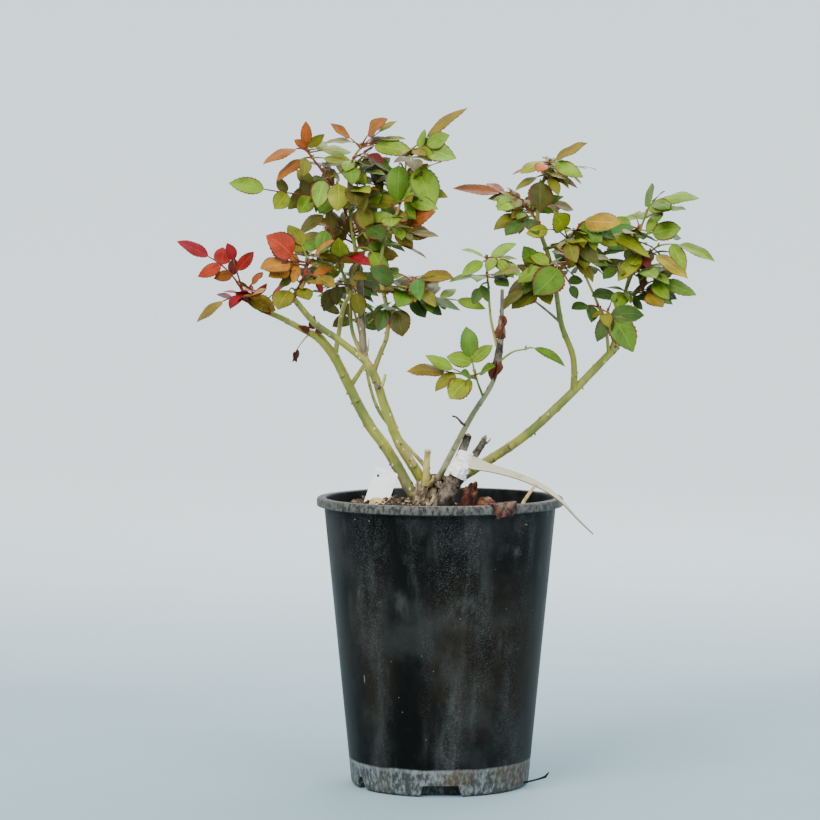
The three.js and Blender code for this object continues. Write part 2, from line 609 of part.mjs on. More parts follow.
// Half of a blade's breadth at a share of its length, as a share of its whole breadth.
function bladeHalfWidth(u) {
  return 0.5 * Math.max(0, Math.sin(Math.PI * u ** 0.82)) ** 0.8;
}

// A leaf's stalk: two straight runs, or one, whose direction turns evenly from foot to end.
function stalkLine(start, bend, end, straight) {
  const middle = straight
    ? start.clone().lerp(end, 0.5)
    : start.clone().multiplyScalar(0.25).addScaledVector(bend, 0.5).addScaledVector(end, 0.25);
  const setOff = bend.clone().sub(start);
  const arrive = end.clone().sub(bend);
  return {
    getPoint: (t) => (t < 0.5 ? start.clone().lerp(middle, 2 * t) : middle.clone().lerp(end, 2 * t - 1)),
    getTangent: (t) => setOff.clone().lerp(arrive, t).normalize(),
  };
}

// A leaf's stalk and leaflets, worked out from its row.
function growLeaf(stemCurve, row, random, spare) {
  const [share, right, back, up, nod, faceTurn, size, pattern] = row;
  const start = stemCurve.getPointAt(Math.min(share, lastShare));
  const run = new THREE.Vector3(right, back, up);
  const length = run.length();
  const end = start.clone().add(run);
  const along = run.clone().divideScalar(length);
  const sag = nod * degree;
  const tipWay = along.multiplyScalar(Math.cos(sag)).add(new THREE.Vector3(0, 0, -Math.sin(sag))).normalize();
  const bend = end.clone().addScaledVector(tipWay, -length / 2);
  const stalk = stalkLine(start, bend, end, spare);
  const turn = faceTurn * degree;
  const facing = new THREE.Vector3(0, -Math.sin(turn), Math.cos(turn));
  const leaflets = [];
  for (let i = 0; i < pattern.length; i++) {
    const jitter = [random(), random(), random(), random(), random()];
    const blade = blades[pattern[i]];
    if (!blade) continue;
    const pair = Math.ceil(i / 2);
    const side = i === 0 ? 0 : i % 2 === 1 ? 1 : -1;
    const place = 1 - pairSpacing * pair;
    const way = stalk.getTangent(place);
    const face = facing.clone().addScaledVector(way, -facing.dot(way)).normalize();
    const left = new THREE.Vector3().crossVectors(face, way);
    const yaw = side * (pairSpread + 16 * (jitter[0] - 0.5)) * degree + (side ? 0 : 0.2 * (jitter[0] - 0.5));
    const out = way.clone().multiplyScalar(Math.cos(yaw)).addScaledVector(left, Math.sin(yaw));
    const roll = 0.5 * (jitter[1] - 0.5);
    const flank = new THREE.Vector3().crossVectors(face, out);
    const turned = face.clone().multiplyScalar(Math.cos(roll)).addScaledVector(flank, Math.sin(roll));
    leaflets.push({
      side,
      base: stalk.getPoint(place),
      along: out,
      face: turned,
      length: size * blade.share * (0.94 + 0.12 * jitter[2]),
      breadth: blade.breadth,
      fold: 0.08 + 0.24 * jitter[3],
      droop: 0.04 + 0.16 * jitter[4],
      spare: spare || blade.share < 1,
    });
  }
  return { stalk, facing, leaflets };
}

// Rows for the leaves that the seeded rule adds to a mass.
function moreRows(mass, random) {
  const rows = [];
  for (let i = 0; i < mass.more; i++) {
    const share = moreRule.from + ((moreRule.to - moreRule.from) * (i + random())) / mass.more;
    const toFront = i % moreRule.frontEvery === moreRule.frontEvery - 1;
    const turn = toFront ? moreRule.frontTurn : moreRule.backTurn;
    const bearing = ((toFront ? -90 : 90) + turn * (2 * random() - 1)) * degree;
    const rise = between(random, moreRule.rise) * degree;
    const run = between(random, moreRule.run);
    const nod = between(random, moreRule.nod);
    const face = between(random, moreRule.face) * (toFront ? -1 : 1);
    const size = between(random, moreRule.size);
    const pattern = moreRule.patterns[Math.floor(random() * moreRule.patterns.length)];
    rows.push([share, run * Math.cos(rise) * Math.cos(bearing), run * Math.cos(rise) * Math.sin(bearing),
      run * Math.sin(rise), nod, face, size, pattern]);
  }
  return rows;
}

function boxesMeet(a, b) {
  return [0, 1, 2].every((k) => a.min[k] - clearance < b.max[k] && b.min[k] - clearance < a.max[k]);
}

// Whether a solid keeps its clearance to every solid of a list.
function isClear(solid, others) {
  const box = solid.boundingBox();
  return others.every((other) => !boxesMeet(box, other.box)
    || solid.minGap(other.solid, clearance * 2) >= clearance);
}

const boxed = (solid) => ({ solid, box: solid.boundingBox() });

// A mass's stem, cut clear of its limb.
function massStem(mass, envelopes) {
  const bends = evenly(2 * (mass.stem.length - 1));
  const stem = solidOf(taperedBar(curveOf(mass.stem), mass.foot, mass.tip, stemSides, bends));
  return stem.subtract(envelopes.get(mass.on));
}

// One mass: its stem and the leaves that keep to the mass's room and clear of the limbs,
// of the masses before it and of the stems of the others.
function massSolid(mass, stem, limbSolids, neighbours) {
  const random = seeded(mass.seed);
  const curve = curveOf(mass.stem);
  const pieces = [stem];
  const heart = curve.getPointAt(0.6);
  const obstacles = [...limbSolids, ...neighbours];
  const own = [];
  const rows = [...mass.leaves, ...moreRows(mass, random)];
  rows.forEach((row, i) => {
    const spare = i >= mass.leaves.length;
    const { stalk, facing, leaflets } = growLeaf(curve, row, random, spare);
    const endLeaflet = leaflets.find((leaflet) => leaflet.side === 0);
    const main = stalkSolid(stalk, facing, endLeaflet, spare);
    if (!isClear(main, obstacles) || (spare && !isClear(main, own))) return;
    if (endLeaflet && bladePoint(endLeaflet).distanceTo(heart) > mass.room) return;
    pieces.push(main);
    const fresh = [boxed(main)];
    for (const leaflet of leaflets) {
      if (leaflet.side === 0 || bladePoint(leaflet).distanceTo(heart) > mass.room) continue;
      const blade = bladeSolid(leaflet);
      if (!isClear(blade, obstacles) || (spare && !isClear(blade, own))) continue;
      pieces.push(blade);
      fresh.push(boxed(blade));
    }
    own.push(...fresh);
  });
  return wasm.Manifold.union(pieces);
}

// Blank stick-in label with its small slot.
function labelGeometry() {
  const half = labelWidth / 2;
  const top = labelHeight;
  const r = labelCorner;
  const outline = new THREE.Shape();
  outline.moveTo(-half, 0).lineTo(half, 0).lineTo(half, top - r).quadraticCurveTo(half, top, half - r, top);
  outline.lineTo(-half + r, top).quadraticCurveTo(-half, top, -half, top - r).lineTo(-half, 0);
  const slot = new THREE.Path();
  slot.absellipse(-half + 4, top - 5, ...labelSlot, 0, 2 * Math.PI, true);
  outline.holes.push(slot);
  const settings = { depth: labelThickness, bevelEnabled: false, curveSegments: 4 };
  return new THREE.ExtrudeGeometry(outline, settings).rotateX(Math.PI / 2);
}

// Stiff ribbon that leaves its collar on edge and turns flatter towards its tip.
function ribbonSolid() {
  const curve = curveOf(ribbonPath);
  const band = new THREE.BoxGeometry(ribbonThickness, 1, ribbonWidth, 1, ribbonSteps, 1);
  return solidOf(reshape(band, (v) => {
    const share = v.y + 0.5;
    const way = curve.getTangentAt(share);
    const taper = 1 - Math.max(0, share - 0.5);
    const turn = (ribbonTurn[0] + (ribbonTurn[1] - ribbonTurn[0]) * share) * degree;
    const broad = new THREE.Vector3(0, Math.sin(turn), Math.cos(turn)).projectOnPlane(way).normalize();
    const thin = new THREE.Vector3().crossVectors(way, broad);
    const place = curve.getPointAt(share);
    v.copy(place.addScaledVector(broad, v.z * taper).addScaledVector(thin, v.x));
  }));
}

// The ribbon with its collar, which wraps the old stub.
function ribbonLabel(stubs) {
  const collar = new THREE.CylinderGeometry(collarRadius, collarRadius, collarHeight, 14, 1);
  collar.rotateX(Math.PI / 2).translate(...collarAt);
  const whole = wasm.Manifold.union([solidOf(collar), ribbonSolid()]);
  return stubs.reduce((left, stub) => left.subtract(stub), whole);
}

// A lump of bark: a ball pulled to size and knocked about by a slow wave.
function lump(size, lean, at) {
  const ball = mergeVertices(new THREE.IcosahedronGeometry(0.5, 1).deleteAttribute("uv").deleteAttribute("normal"));
  reshape(ball, (v) => {
    const dent = 1 + 0.08 * Math.sin(9 * v.x + 5 * v.z) - 0.05 * Math.cos(11 * v.y);
    v.multiplyScalar(dent).multiply(new THREE.Vector3(...size));
  });
  return ball.rotateY(lean * degree).translate(...at);
}

// A solid let down to its clearance above the one under it.
function letDown(solid, ground) {
  let seated = solid;
  for (let i = 0; i < letDownSteps; i++) {
    seated = seated.translate(0, 0, clearance - seated.minGap(ground, letDownReach));
  }
  return seated;
}

// Dead leaf folded over the rim.
function rimLeafGeometry() {
  const inside = mouthRadius - bandOverhang - wallThickness - 1;
  const outside = mouthRadius + 0.7;
  const over = potHeight + clearance + 0.1;
  const t = rimLeafThickness;
  const outline = new THREE.Shape([
    [inside - t, over - 4], [inside, over - 4], [inside, over], [outside, over],
    [outside, over - rimLeafDrop], [outside + t, over - rimLeafDrop + 1.5],
    [outside + t, over + t - 0.4], [outside, over + t], [inside - t + 0.6, over + t], [inside - t, over],
  ].map(([r, z]) => new THREE.Vector2(r, z)));
  const strip = new THREE.ExtrudeGeometry(outline, { depth: rimLeafWidth, bevelEnabled: false });
  return strip.rotateX(Math.PI / 2).translate(0, rimLeafWidth / 2, 0).rotateZ(rimLeafAngle * degree);
}

const group = new THREE.Group();
group.name = "potted_rose_bush";

// Everything that is cut by its neighbours is kept as a solid until it is placed.
const plain = new Map();
plain.set("graft_union", unionSolid(0));
const envelopes = new Map([["graft_union", unionSolid(clearance)]]);
const ground = solidOf(new THREE.CylinderGeometry(80, 80, 20, 12).rotateX(Math.PI / 2)
  .translate(0, 0, moundTop + clearance - 10));
for (const limb of limbs) {
  const cuts = limb.from.map((parent) => envelopes.get(parent));
  const solid = cuts.reduce((left, cut) => left.subtract(cut), limbSolid(limb, 0));
  plain.set(limb.name, solid.subtract(ground));
  envelopes.set(limb.name, limbSolid(limb, clearance));
}

const potColour = 0x2c2e30;
const soilColour = 0x3a2c22;
const barkColour = 0x7d6a55;
const caneColour = 0xa7a860;
const deadColour = 0x6f675e;
const leafColours = [0x7d8a3a, 0x5f7f3a, 0x8c8440, 0x4d6b33, 0x6f8f4a];
const deadLimbs = ["dead_twig", "old_stub", "cut_stub", "dead_stub"];

group.add(meshOf("pot", geometryOf(potSolid()), potColour, 0.7));
const soil = soilSolid();
group.add(meshOf("potting_soil", geometryOf(soil), soilColour, 1));
for (const [name, solid] of plain) {
  const colour = name === "graft_union" ? barkColour : deadLimbs.includes(name) ? deadColour : caneColour;
  group.add(meshOf(name, geometryOf(solid), colour, 0.75));
}

const limbSolids = [...plain.values()].map(boxed);
const neighbours = [];
const massStems = masses.map((mass) => massStem(mass, envelopes));
masses.forEach((mass, i) => {
  const otherStems = massStems.slice(i + 1).map(boxed);
  const solid = massSolid(mass, massStems[i], limbSolids, [...neighbours, ...otherStems]);
  neighbours.push(boxed(solid));
  group.add(meshOf(mass.name, geometryOf(solid), leafColours[i % leafColours.length], 0.6));
});

// Labels, bark and the dead leaf on the rim.
const label = meshOf("plant_label", labelGeometry(), 0xf2f2ee, 0.5);
label.position.set(...labelAt);
label.rotation.set(0, labelLean * degree, labelYaw * degree);
group.add(label);

const stubEnvelopes = ["old_stub", "cut_stub", "dead_stub"].map((name) => envelopes.get(name));
group.add(meshOf("ribbon_label", geometryOf(ribbonLabel(stubEnvelopes)), 0xe9e4cf, 0.5));

const flake = letDown(solidOf(lump(flakeSize, flakeLean, flakeAt)), soil);
group.add(meshOf("bark_flake", geometryOf(flake.subtract(envelopes.get("old_stub"))), 0x7a3f2a, 0.85));
const nut = letDown(solidOf(lump(nutSize, 0, nutAt)), soil);
group.add(meshOf("bark_nut", geometryOf(nut), 0x83502e, 0.6));
group.add(meshOf("rim_leaf", rimLeafGeometry(), 0x5e3426, 0.8));

export default group;
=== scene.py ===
import math
import random as dice
import bpy
import bmesh
from mathutils import Matrix, Vector, noise
from mathutils.bvhtree import BVHTree


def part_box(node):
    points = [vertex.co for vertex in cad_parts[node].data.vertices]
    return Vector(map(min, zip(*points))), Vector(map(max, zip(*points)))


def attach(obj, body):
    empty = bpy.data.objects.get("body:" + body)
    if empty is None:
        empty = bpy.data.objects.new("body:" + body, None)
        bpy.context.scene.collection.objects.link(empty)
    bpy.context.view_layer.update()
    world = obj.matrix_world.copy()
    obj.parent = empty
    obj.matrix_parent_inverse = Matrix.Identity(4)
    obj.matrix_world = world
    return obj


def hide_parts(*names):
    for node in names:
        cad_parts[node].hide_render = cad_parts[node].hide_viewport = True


# A young bush rose in its five litre pot: bare lower canes, open sprays of tinted leaves
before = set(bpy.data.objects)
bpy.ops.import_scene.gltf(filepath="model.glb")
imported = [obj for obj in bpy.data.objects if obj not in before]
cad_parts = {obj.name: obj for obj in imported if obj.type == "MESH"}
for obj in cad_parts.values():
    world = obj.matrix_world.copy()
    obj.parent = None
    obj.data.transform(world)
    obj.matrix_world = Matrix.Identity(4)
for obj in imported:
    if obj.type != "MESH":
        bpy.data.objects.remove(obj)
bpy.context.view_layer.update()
mm = 0.001
fullTurn = 2 * math.pi
print("frame loaded:", len(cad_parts), "solids")

# Camera, at the height and distance of someone stooping to look at the pot
viewPoint = {"distance": 2.4, "height": 0.4268, "aside": -0.0243, "tiltDown": 2.948, "lens": 130.2}
camera = bpy.data.objects.new("camera", bpy.data.cameras.new("camera"))
camera.location = (viewPoint["aside"], -viewPoint["distance"], viewPoint["height"])
camera.rotation_euler = (math.radians(90 - viewPoint["tiltDown"]), 0, 0)
camera.data.lens = viewPoint["lens"]
bpy.context.scene.collection.objects.link(camera)
bpy.context.scene.camera = camera


# Meshes

def newPile():  # vertices in mm, faces, and a place on the surface for each vertex
    return {"points": [], "faces": [], "maps": []}


def addTo(pile, points, faces, maps=None):
    first = len(pile["points"])
    pile["points"] += points
    pile["faces"] += [[first + k for k in face] for face in faces]
    pile["maps"] += maps or [(0.0, 0.0)] * len(points)


def pileOf(points, faces):
    pile = newPile()
    addTo(pile, points, faces)
    return pile


def meshOf(name, points, faces, unit=mm):
    mesh = bpy.data.meshes.new(name)
    mesh.from_pydata([Vector(p) * unit for p in points], [], faces)
    return mesh


def markSharp(mesh, degrees):  # smooth shading, with hard edges past an angle
    form = bmesh.new()
    form.from_mesh(mesh)
    for edge in form.edges:
        edge.smooth = len(edge.link_faces) != 2 or edge.calc_face_angle(0) < math.radians(degrees)
    for face in form.faces:
        face.smooth = True
    form.to_mesh(mesh)
    form.free()


def link(name, mesh, material=None):
    thing = bpy.data.objects.new(name, mesh)
    bpy.context.scene.collection.objects.link(thing)
    if material:
        mesh.materials.clear()
        mesh.materials.append(material)
    return thing


def finishPiece(thing, nodes=()):  # it rides on the one body and stands for its solids
    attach(thing, "root")
    if nodes:
        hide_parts(*nodes)
    return thing


def pieceOf(pile, name, material, nodes=(), sharp=40):
    mesh = meshOf(name, pile["points"], pile["faces"])
    layer = mesh.uv_layers.new(name="blade")
    for loop in mesh.loops:
        layer.data[loop.index].uv = pile["maps"][loop.vertex_index]
    mesh.validate()
    markSharp(mesh, sharp)
    return finishPiece(link(name, mesh, material), nodes)


def evaluated(thing):  # what its modifiers make, as a plain mesh
    bpy.context.view_layer.update()
    graph = bpy.context.evaluated_depsgraph_get()
    return bpy.data.meshes.new_from_object(thing.evaluated_get(graph))


def solidOf(name):  # the corners of a solid in mm, and its faces as a search tree
    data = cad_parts[name].data
    corners = [v.co / mm for v in data.vertices]
    return corners, BVHTree.FromPolygons(corners, [list(p.vertices) for p in data.polygons])


def smoothCurve(path, divisions=80):  # centripetal Catmull-Rom, measured along its length
    points = [Vector(p) for p in path]
    last = len(points) - 1

    def at(t):
        place = min(max(t, 0.0), 1.0) * last
        i = min(int(place), last - 1)
        w = place - i
        b, c = points[i], points[i + 1]
        a = points[i - 1] if i > 0 else b * 2 - c
        d = points[i + 2] if i + 2 <= last else c * 2 - b
        dt = [max((q - p).length_squared, 1e-12) ** 0.25 for p, q in ((a, b), (b, c), (c, d))]
        setOff = ((b - a) / dt[0] - (c - a) / (dt[0] + dt[1]) + (c - b) / dt[1]) * dt[1]
        arrive = ((c - b) / dt[1] - (d - b) / (dt[1] + dt[2]) + (d - c) / dt[2]) * dt[1]
        cubic = b * 2 - c * 2 + setOff + arrive
        square = c * 3 - b * 3 - setOff * 2 - arrive
        return ((cubic * w + square) * w + setOff) * w + b

    samples = [at(i / divisions) for i in range(divisions + 1)]
    lengths = [0.0]
    for p, q in zip(samples, samples[1:]):
        lengths.append(lengths[-1] + (q - p).length)

    def atShare(u):
        wanted = min(max(u, 0.0), 1.0) * lengths[-1]
        k = next(i for i in range(1, divisions + 1) if lengths[i] >= wanted or i == divisions)
        part = (wanted - lengths[k - 1]) / max(lengths[k] - lengths[k - 1], 1e-9)
        return at((k - 1 + part) / divisions)

    return {"at": atShare, "length": lengths[-1]}


def wayAlong(curve, share, step=0.01):
    return (curve["at"](share + step) - curve["at"](share - step)).normalized()


def squareTo(v, way):  # what is left of a direction across a way
    return (v - way * v.dot(way)).normalized()


def ringsAlong(centres, start=Vector((0.3, 1, 0.2))):  # two directions across the path at each centre
    side = start
    frames = []
    for i, centre in enumerate(centres):
        way = (centres[min(i + 1, len(centres) - 1)] - centres[max(i - 1, 0)]).normalized()
        side = squareTo(side, way)
        frames.append((centre, side, way.cross(side), way))
    return frames


def shellFaces(first, rows, turns, low, high=None, flip=False):  # quads from ring to ring, a fan at each pole
    end = first + (rows - 1) * turns
    faces = []
    for j in range(turns):
        k = (j + 1) % turns
        faces.append([low, first + k, first + j])
        if high is not None:
            faces.append([high, end + j, end + k])
        for i in range(rows - 1):
            a, b = first + i * turns, first + (i + 1) * turns
            faces.append([a + j, a + k, b + k, b + j])
    return [face[:1] + face[:0:-1] for face in faces] if flip else faces


endBulge = {True: 0.6, False: 0.05}  # how far a domed or a flat end stands out, as a share of its radius


def tube(pile, centres, radii, sides, relief=None, domed=True):  # closed round bar through the centres
    centres = [Vector(c) for c in centres]
    rows = len(centres)
    points, maps, faces = [], [], []
    along = 0.0
    for i, (centre, side, across, way) in enumerate(ringsAlong(centres)):
        along += (centre - centres[i - 1]).length if i else 0
        for j in range(sides):
            angle = fullTurn * j / sides
            radius = radii[i] * (relief(along, angle, i) if relief else 1)
            points.append(centre + side * (radius * math.cos(angle)) + across * (radius * math.sin(angle)))
            maps.append((along / 10, j / sides))
    for i in range(rows - 1):
        for j in range(sides):
            k = (j + 1) % sides
            faces.append([i * sides + j, i * sides + k, (i + 1) * sides + k, (i + 1) * sides + j])
    for i, sign in ((0, -1), (rows - 1, 1)):
        way = (centres[i] - centres[i - sign]).normalized()
        points.append(centres[i] + way * (radii[i] * endBulge[domed]))
        maps.append((along / 10, 0.5))
        tip = len(points) - 1
        for j in range(sides):
            near, far = i * sides + j, i * sides + (j + 1) % sides
            faces.append([near, tip, far] if sign < 0 else [near, far, tip])
    addTo(pile, points, faces, maps)


# Shader and geometry nodes

def nodeAdder(tree):  # a short way to add a node with its settings and inputs
    def add(kind, inputs=None, **settings):
        node = tree.nodes.new(kind if "Node" in kind else "ShaderNode" + kind)
        for name, value in settings.items():
            setattr(node, name, value)
        for key, value in (inputs or {}).items():
            if isinstance(value, bpy.types.NodeSocket):
                tree.links.new(value, node.inputs[key])
            else:
                node.inputs[key].default_value = value
        return node
    return add


def tint(code):  # a hex colour as linear values
    parts = [int(code[i:i + 2], 16) / 255 for i in (1, 3, 5)]
    return tuple(p / 12.92 if p <= 0.04045 else ((p + 0.055) / 1.055) ** 2.4 for p in parts) + (1.0,)


def darker(code, share):
    return tuple(v * share for v in tint(code)[:3]) + (1,)


def blend(add, factor, a, b):  # a colour may be a hex code
    a, b = [tint(c) if isinstance(c, str) else c for c in (a, b)]
    return add("Mix", {0: factor, 6: a, 7: b}, data_type="RGBA").outputs[2]


def reach(add, value, low, high, start=0.0, end=1.0):  # eases from start to end as value passes low to high
    inputs = {"Value": value, "From Min": low, "From Max": high, "To Min": start, "To Max": end}
    return add("MapRange", inputs, interpolation_type="SMOOTHSTEP").outputs[0]


def combine(add, operation, values):
    out = values[0]
    for value in values[1:]:
        out = add("Math", {0: out, 1: value}, operation=operation).outputs[0]
    return out


def times(add, *values):
    return combine(add, "MULTIPLY", values)


def plus(add, *values):
    return combine(add, "ADD", values)


def cloud(add, vector, scale, detail=2.0):
    return add("TexNoise", {"Vector": vector, "Scale": scale, "Detail": detail}).outputs[0]


def stretched(add, vector, scale):
    return add("Mapping", {"Vector": vector, "Scale": scale}).outputs[0]


def drawn(add, vector, up):  # stretched along the height only
    return stretched(add, vector, (1, 1, up))


def bump(add, height, strength, distance):
    return add("Bump", {"Height": height, "Strength": strength, "Distance": distance}).outputs[0]


def partsOf(add, vector):
    return add("SeparateXYZ", {0: vector}).outputs


def maskGroup(name, inputs):  # a shared node group that puts out one mask
    tree = bpy.data.node_groups.new(name, "ShaderNodeTree")
    tree.interface.new_socket("Vector", in_out="INPUT", socket_type="NodeSocketVector")
    for socketName, start in inputs.items():
        socket = tree.interface.new_socket(socketName, in_out="INPUT", socket_type="NodeSocketFloat")
        socket.default_value = start
    tree.interface.new_socket("Mask", in_out="OUTPUT", socket_type="NodeSocketFloat")
    add = nodeAdder(tree)
    return tree, add, add("NodeGroupInput").outputs


def makePatches():  # soft or hard patches
    tree, add, given = maskGroup("patches", {"Scale": 50.0, "Detail": 4.0, "Low": 0.45, "High": 0.6})
    inputs = {"Vector": given["Vector"], "Scale": given["Scale"], "Detail": given["Detail"], "Roughness": 0.62}
    clouds = add("TexNoise", inputs).outputs[0]
    add("NodeGroupOutput", {"Mask": reach(add, clouds, given["Low"], given["High"])})
    return tree


def makeSpecks():  # scattered round specks
    tree, add, given = maskGroup("specks", {"Scale": 200.0, "Size": 0.3, "Share": 0.2})
    cells = add("TexVoronoi", {"Vector": given["Vector"], "Scale": given["Scale"]}).outputs
    chosen = add("Math", {0: cells["Color"], 1: given["Share"]}, operation="LESS_THAN").outputs[0]
    dots = reach(add, cells["Distance"], given["Size"], times(add, given["Size"], 0.6))
    add("NodeGroupOutput", {"Mask": times(add, chosen, dots)})
    return tree


patches = makePatches()
specks = makeSpecks()


def patchMask(add, vector, scale, low, high, detail=4.0):
    inputs = {"Vector": vector, "Scale": scale, "Low": low, "High": high, "Detail": detail}
    return add("Group", inputs, node_tree=patches).outputs["Mask"]


def speckMask(add, vector, scale, size, share):
    inputs = {"Vector": vector, "Scale": scale, "Size": size, "Share": share}
    return add("Group", inputs, node_tree=specks).outputs["Mask"]


def newMaterial(name, roughness=0.6, specular=0.4):
    material = bpy.data.materials.new(name)
    material.use_nodes = True
    material.node_tree.nodes.clear()
    add = nodeAdder(material.node_tree)
    shader = add("BsdfPrincipled", {"Roughness": roughness, "Specular IOR Level": specular})
    add("OutputMaterial", {0: shader.outputs[0]})
    return material, add, shader, add("TexCoord").outputs["Object"]


def wire(shader, **sockets):  # joins values to the shader's own sockets
    for name, value in sockets.items():
        shader.id_data.links.new(value, shader.inputs[name.replace("_", " ")])


# Pot

potForm = {"height": 233, "mouth": 100, "foot": 72, "bandHeight": 7, "overhang": 6, "wall": 1.8, "floor": 12,
           "turns": 144, "cutDepth": 14, "hardEdge": 32,
           "openings": [(0, 34, 28, 9), (120, 34, 28, 9), (240, 34, 28, 9), (-61, 15, 5, 10)]}
# an opening of the foot: degrees round from the front, width below, width above, height
potLook = {"plastic": "#0a0a0a", "dust": "#4a4c4b", "brown": "#211b14", "lime": "#8c9190", "limeTop": 0.0205,
           "stain": "#4a3620", "fleck": "#b4b6b4", "rim": "#6a6862", "rimFrom": 0.2245, "rimInside": 0.0925}


def roundedProfile(corners):  # radius and height pairs, each with its rounding
    points = [Vector((r, z)) for r, z, _ in corners]
    out = []
    for i, (r, z, rounding) in enumerate(corners):
        here = points[i]
        if not rounding:
            out.append(here)
            continue
        before = here + (points[i - 1] - here).normalized() * rounding
        after = here + (points[(i + 1) % len(points)] - here).normalized() * rounding
        for k in range(5):
            t = k / 4
            out.append(before * (1 - t) ** 2 + here * (2 * t * (1 - t)) + after * t ** 2)
    return out


def lathe(profile, turns):  # its first and last points are on the axis
    points = [Vector((0, 0, profile[0].y))]
    for p in profile[1:-1]:
        points += [Vector((p.x * math.cos(fullTurn * j / turns), p.x * math.sin(fullTurn * j / turns), p.y))
                   for j in range(turns)]
    points.append(Vector((0, 0, profile[-1].y)))
    return points, shellFaces(1, len(profile) - 2, turns, 0, len(points) - 1)


def potMesh(form):
    top = form["mouth"] - form["overhang"]
    inner = top - form["wall"]
    band = form["height"] - form["bandHeight"]
    corners = [(0, 0, 0), (form["foot"] - 8, 0, 0), (form["foot"], 0, 3), (top - 0.3, band - 4, 0),
               (top, band - 1, 0.8), (form["mouth"] - 0.2, band, 0.8), (form["mouth"], band + 3, 0),
               (form["mouth"], form["height"], 2.4), (inner, form["height"], 2.2), (inner - 0.8, band - 6, 0),
               (form["foot"] - form["wall"], form["floor"], 2), (0, form["floor"], 0)]
    body = link("pot_body", meshOf("pot_wall", *lathe(roundedProfile(corners), form["turns"])))
    cutter = newPile()
    for turned, below, above, height in form["openings"]:
        turn = Matrix.Rotation(math.radians(turned), 3, "Z")
        near, far = -form["foot"] - 8, -form["foot"] + form["cutDepth"]
        ends = [turn @ Vector((x, y, z)) for y in (near, far)
                for x, z in ((-below / 2, -1), (below / 2, -1), (above / 2, height), (-above / 2, height))]
        sides = [[4, 5, 1, 0], [5, 6, 2, 1], [6, 7, 3, 2], [7, 4, 0, 3]]
        addTo(cutter, ends, [[0, 1, 2, 3], [7, 6, 5, 4]] + sides)
    notches = link("notches", meshOf("notches", cutter["points"], cutter["faces"]))
    cut = body.modifiers.new("cut", "BOOLEAN")
    cut.operation = "DIFFERENCE"
    cut.object = notches
    cut.solver = "EXACT"
    made = evaluated(body)
    bpy.data.objects.remove(body)
    bpy.data.objects.remove(notches)
    markSharp(made, form["hardEdge"])
    return made


def potPlastic(look):  # black, filmed with dust, with a band of lime round the foot and a mottled grey rim band
    material, add, shader, place = newMaterial("dull black plastic", 0.66, 0.06)
    height = partsOf(add, place)[2]
    streaky = drawn(add, place, 0.2)
    clouds = patchMask(add, place, 15, 0.45, 0.72, 5)
    runs = patchMask(add, streaky, 48, 0.5, 0.74, 6)
    grit = times(add, patchMask(add, place, 900, 0.5, 0.66, 2), patchMask(add, streaky, 26, 0.42, 0.66, 5))
    wisps = patchMask(add, drawn(add, place, 0.5), 42, 0.56, 0.74, 9)
    film = plus(add, plus(add, times(add, clouds, 0.26), times(add, runs, 0.3)),
                plus(add, times(add, grit, 0.5), times(add, wisps, 0.4)))
    middle = times(add, reach(add, height, 0.02, 0.08), reach(add, height, 0.21, 0.13))
    browned = times(add, middle, patchMask(add, drawn(add, place, 0.4), 14, 0.4, 0.6), 0.75)
    smudge = times(add, patchMask(add, place, 34, 0.6, 0.72, 6), reach(add, height, 0.1, 0.17), 0.45)
    flecks = plus(add, speckMask(add, place, 330, 0.13, 0.1), speckMask(add, place, 110, 0.05, 0.08))
    scratches = speckMask(add, drawn(add, place, 0.12), 130, 0.09, 0.12)
    ragged = plus(add, height, plus(add, times(add, cloud(add, place, 60, 5), 0.0024), 0.0028))
    lime = reach(add, ragged, look["limeTop"] + 0.0058, look["limeTop"] + 0.0038)
    rough = times(add, patchMask(add, drawn(add, place, 0.55), 330, 0.42, 0.66, 9), 0.56)
    crust = times(add, lime, plus(add, 0.16, rough))
    tide = times(add, lime, reach(add, ragged, look["limeTop"] + 0.0008, look["limeTop"] + 0.0038))
    stain = times(add, lime, patchMask(add, place, 13, 0.5, 0.62))
    away = add("VectorMath", {0: drawn(add, place, 0)}, operation="LENGTH").outputs[1]
    rim = times(add, reach(add, height, look["rimFrom"], look["rimFrom"] + 0.0017),
                reach(add, away, look["rimInside"], look["rimInside"] + 0.001))
    mottle = plus(add, times(add, patchMask(add, drawn(add, place, 0.6), 380, 0.36, 0.64, 9), 0.7), 0.1)
    colour = tint(look["plastic"])
    for mask, paint in ((browned, "brown"), (film, "dust"), (smudge, "dust"),
                        (times(add, flecks, 0.45), "fleck"), (times(add, scratches, 0.3), "fleck"),
                        (crust, "lime"), (times(add, tide, 0.3), "lime"),
                        (times(add, stain, 0.55), "stain"), (times(add, rim, mottle), "rim")):
        colour = blend(add, mask, colour, look[paint])
    grain = plus(add, times(add, cloud(add, place, 420, 4), 0.4), times(add, crust, 0.5))
    wire(shader, Base_Color=colour, Normal=bump(add, grain, 0.35, 0.0006),
         Roughness=plus(add, plus(add, 0.4, times(add, film, 0.5)), times(add, crust, 0.3)))
    return material


finishPiece(link("pot_shell", potMesh(potForm), potPlastic(potLook)), ["pot"])
print("pot made")


# Compost, with crumbs, bark and fibre on it

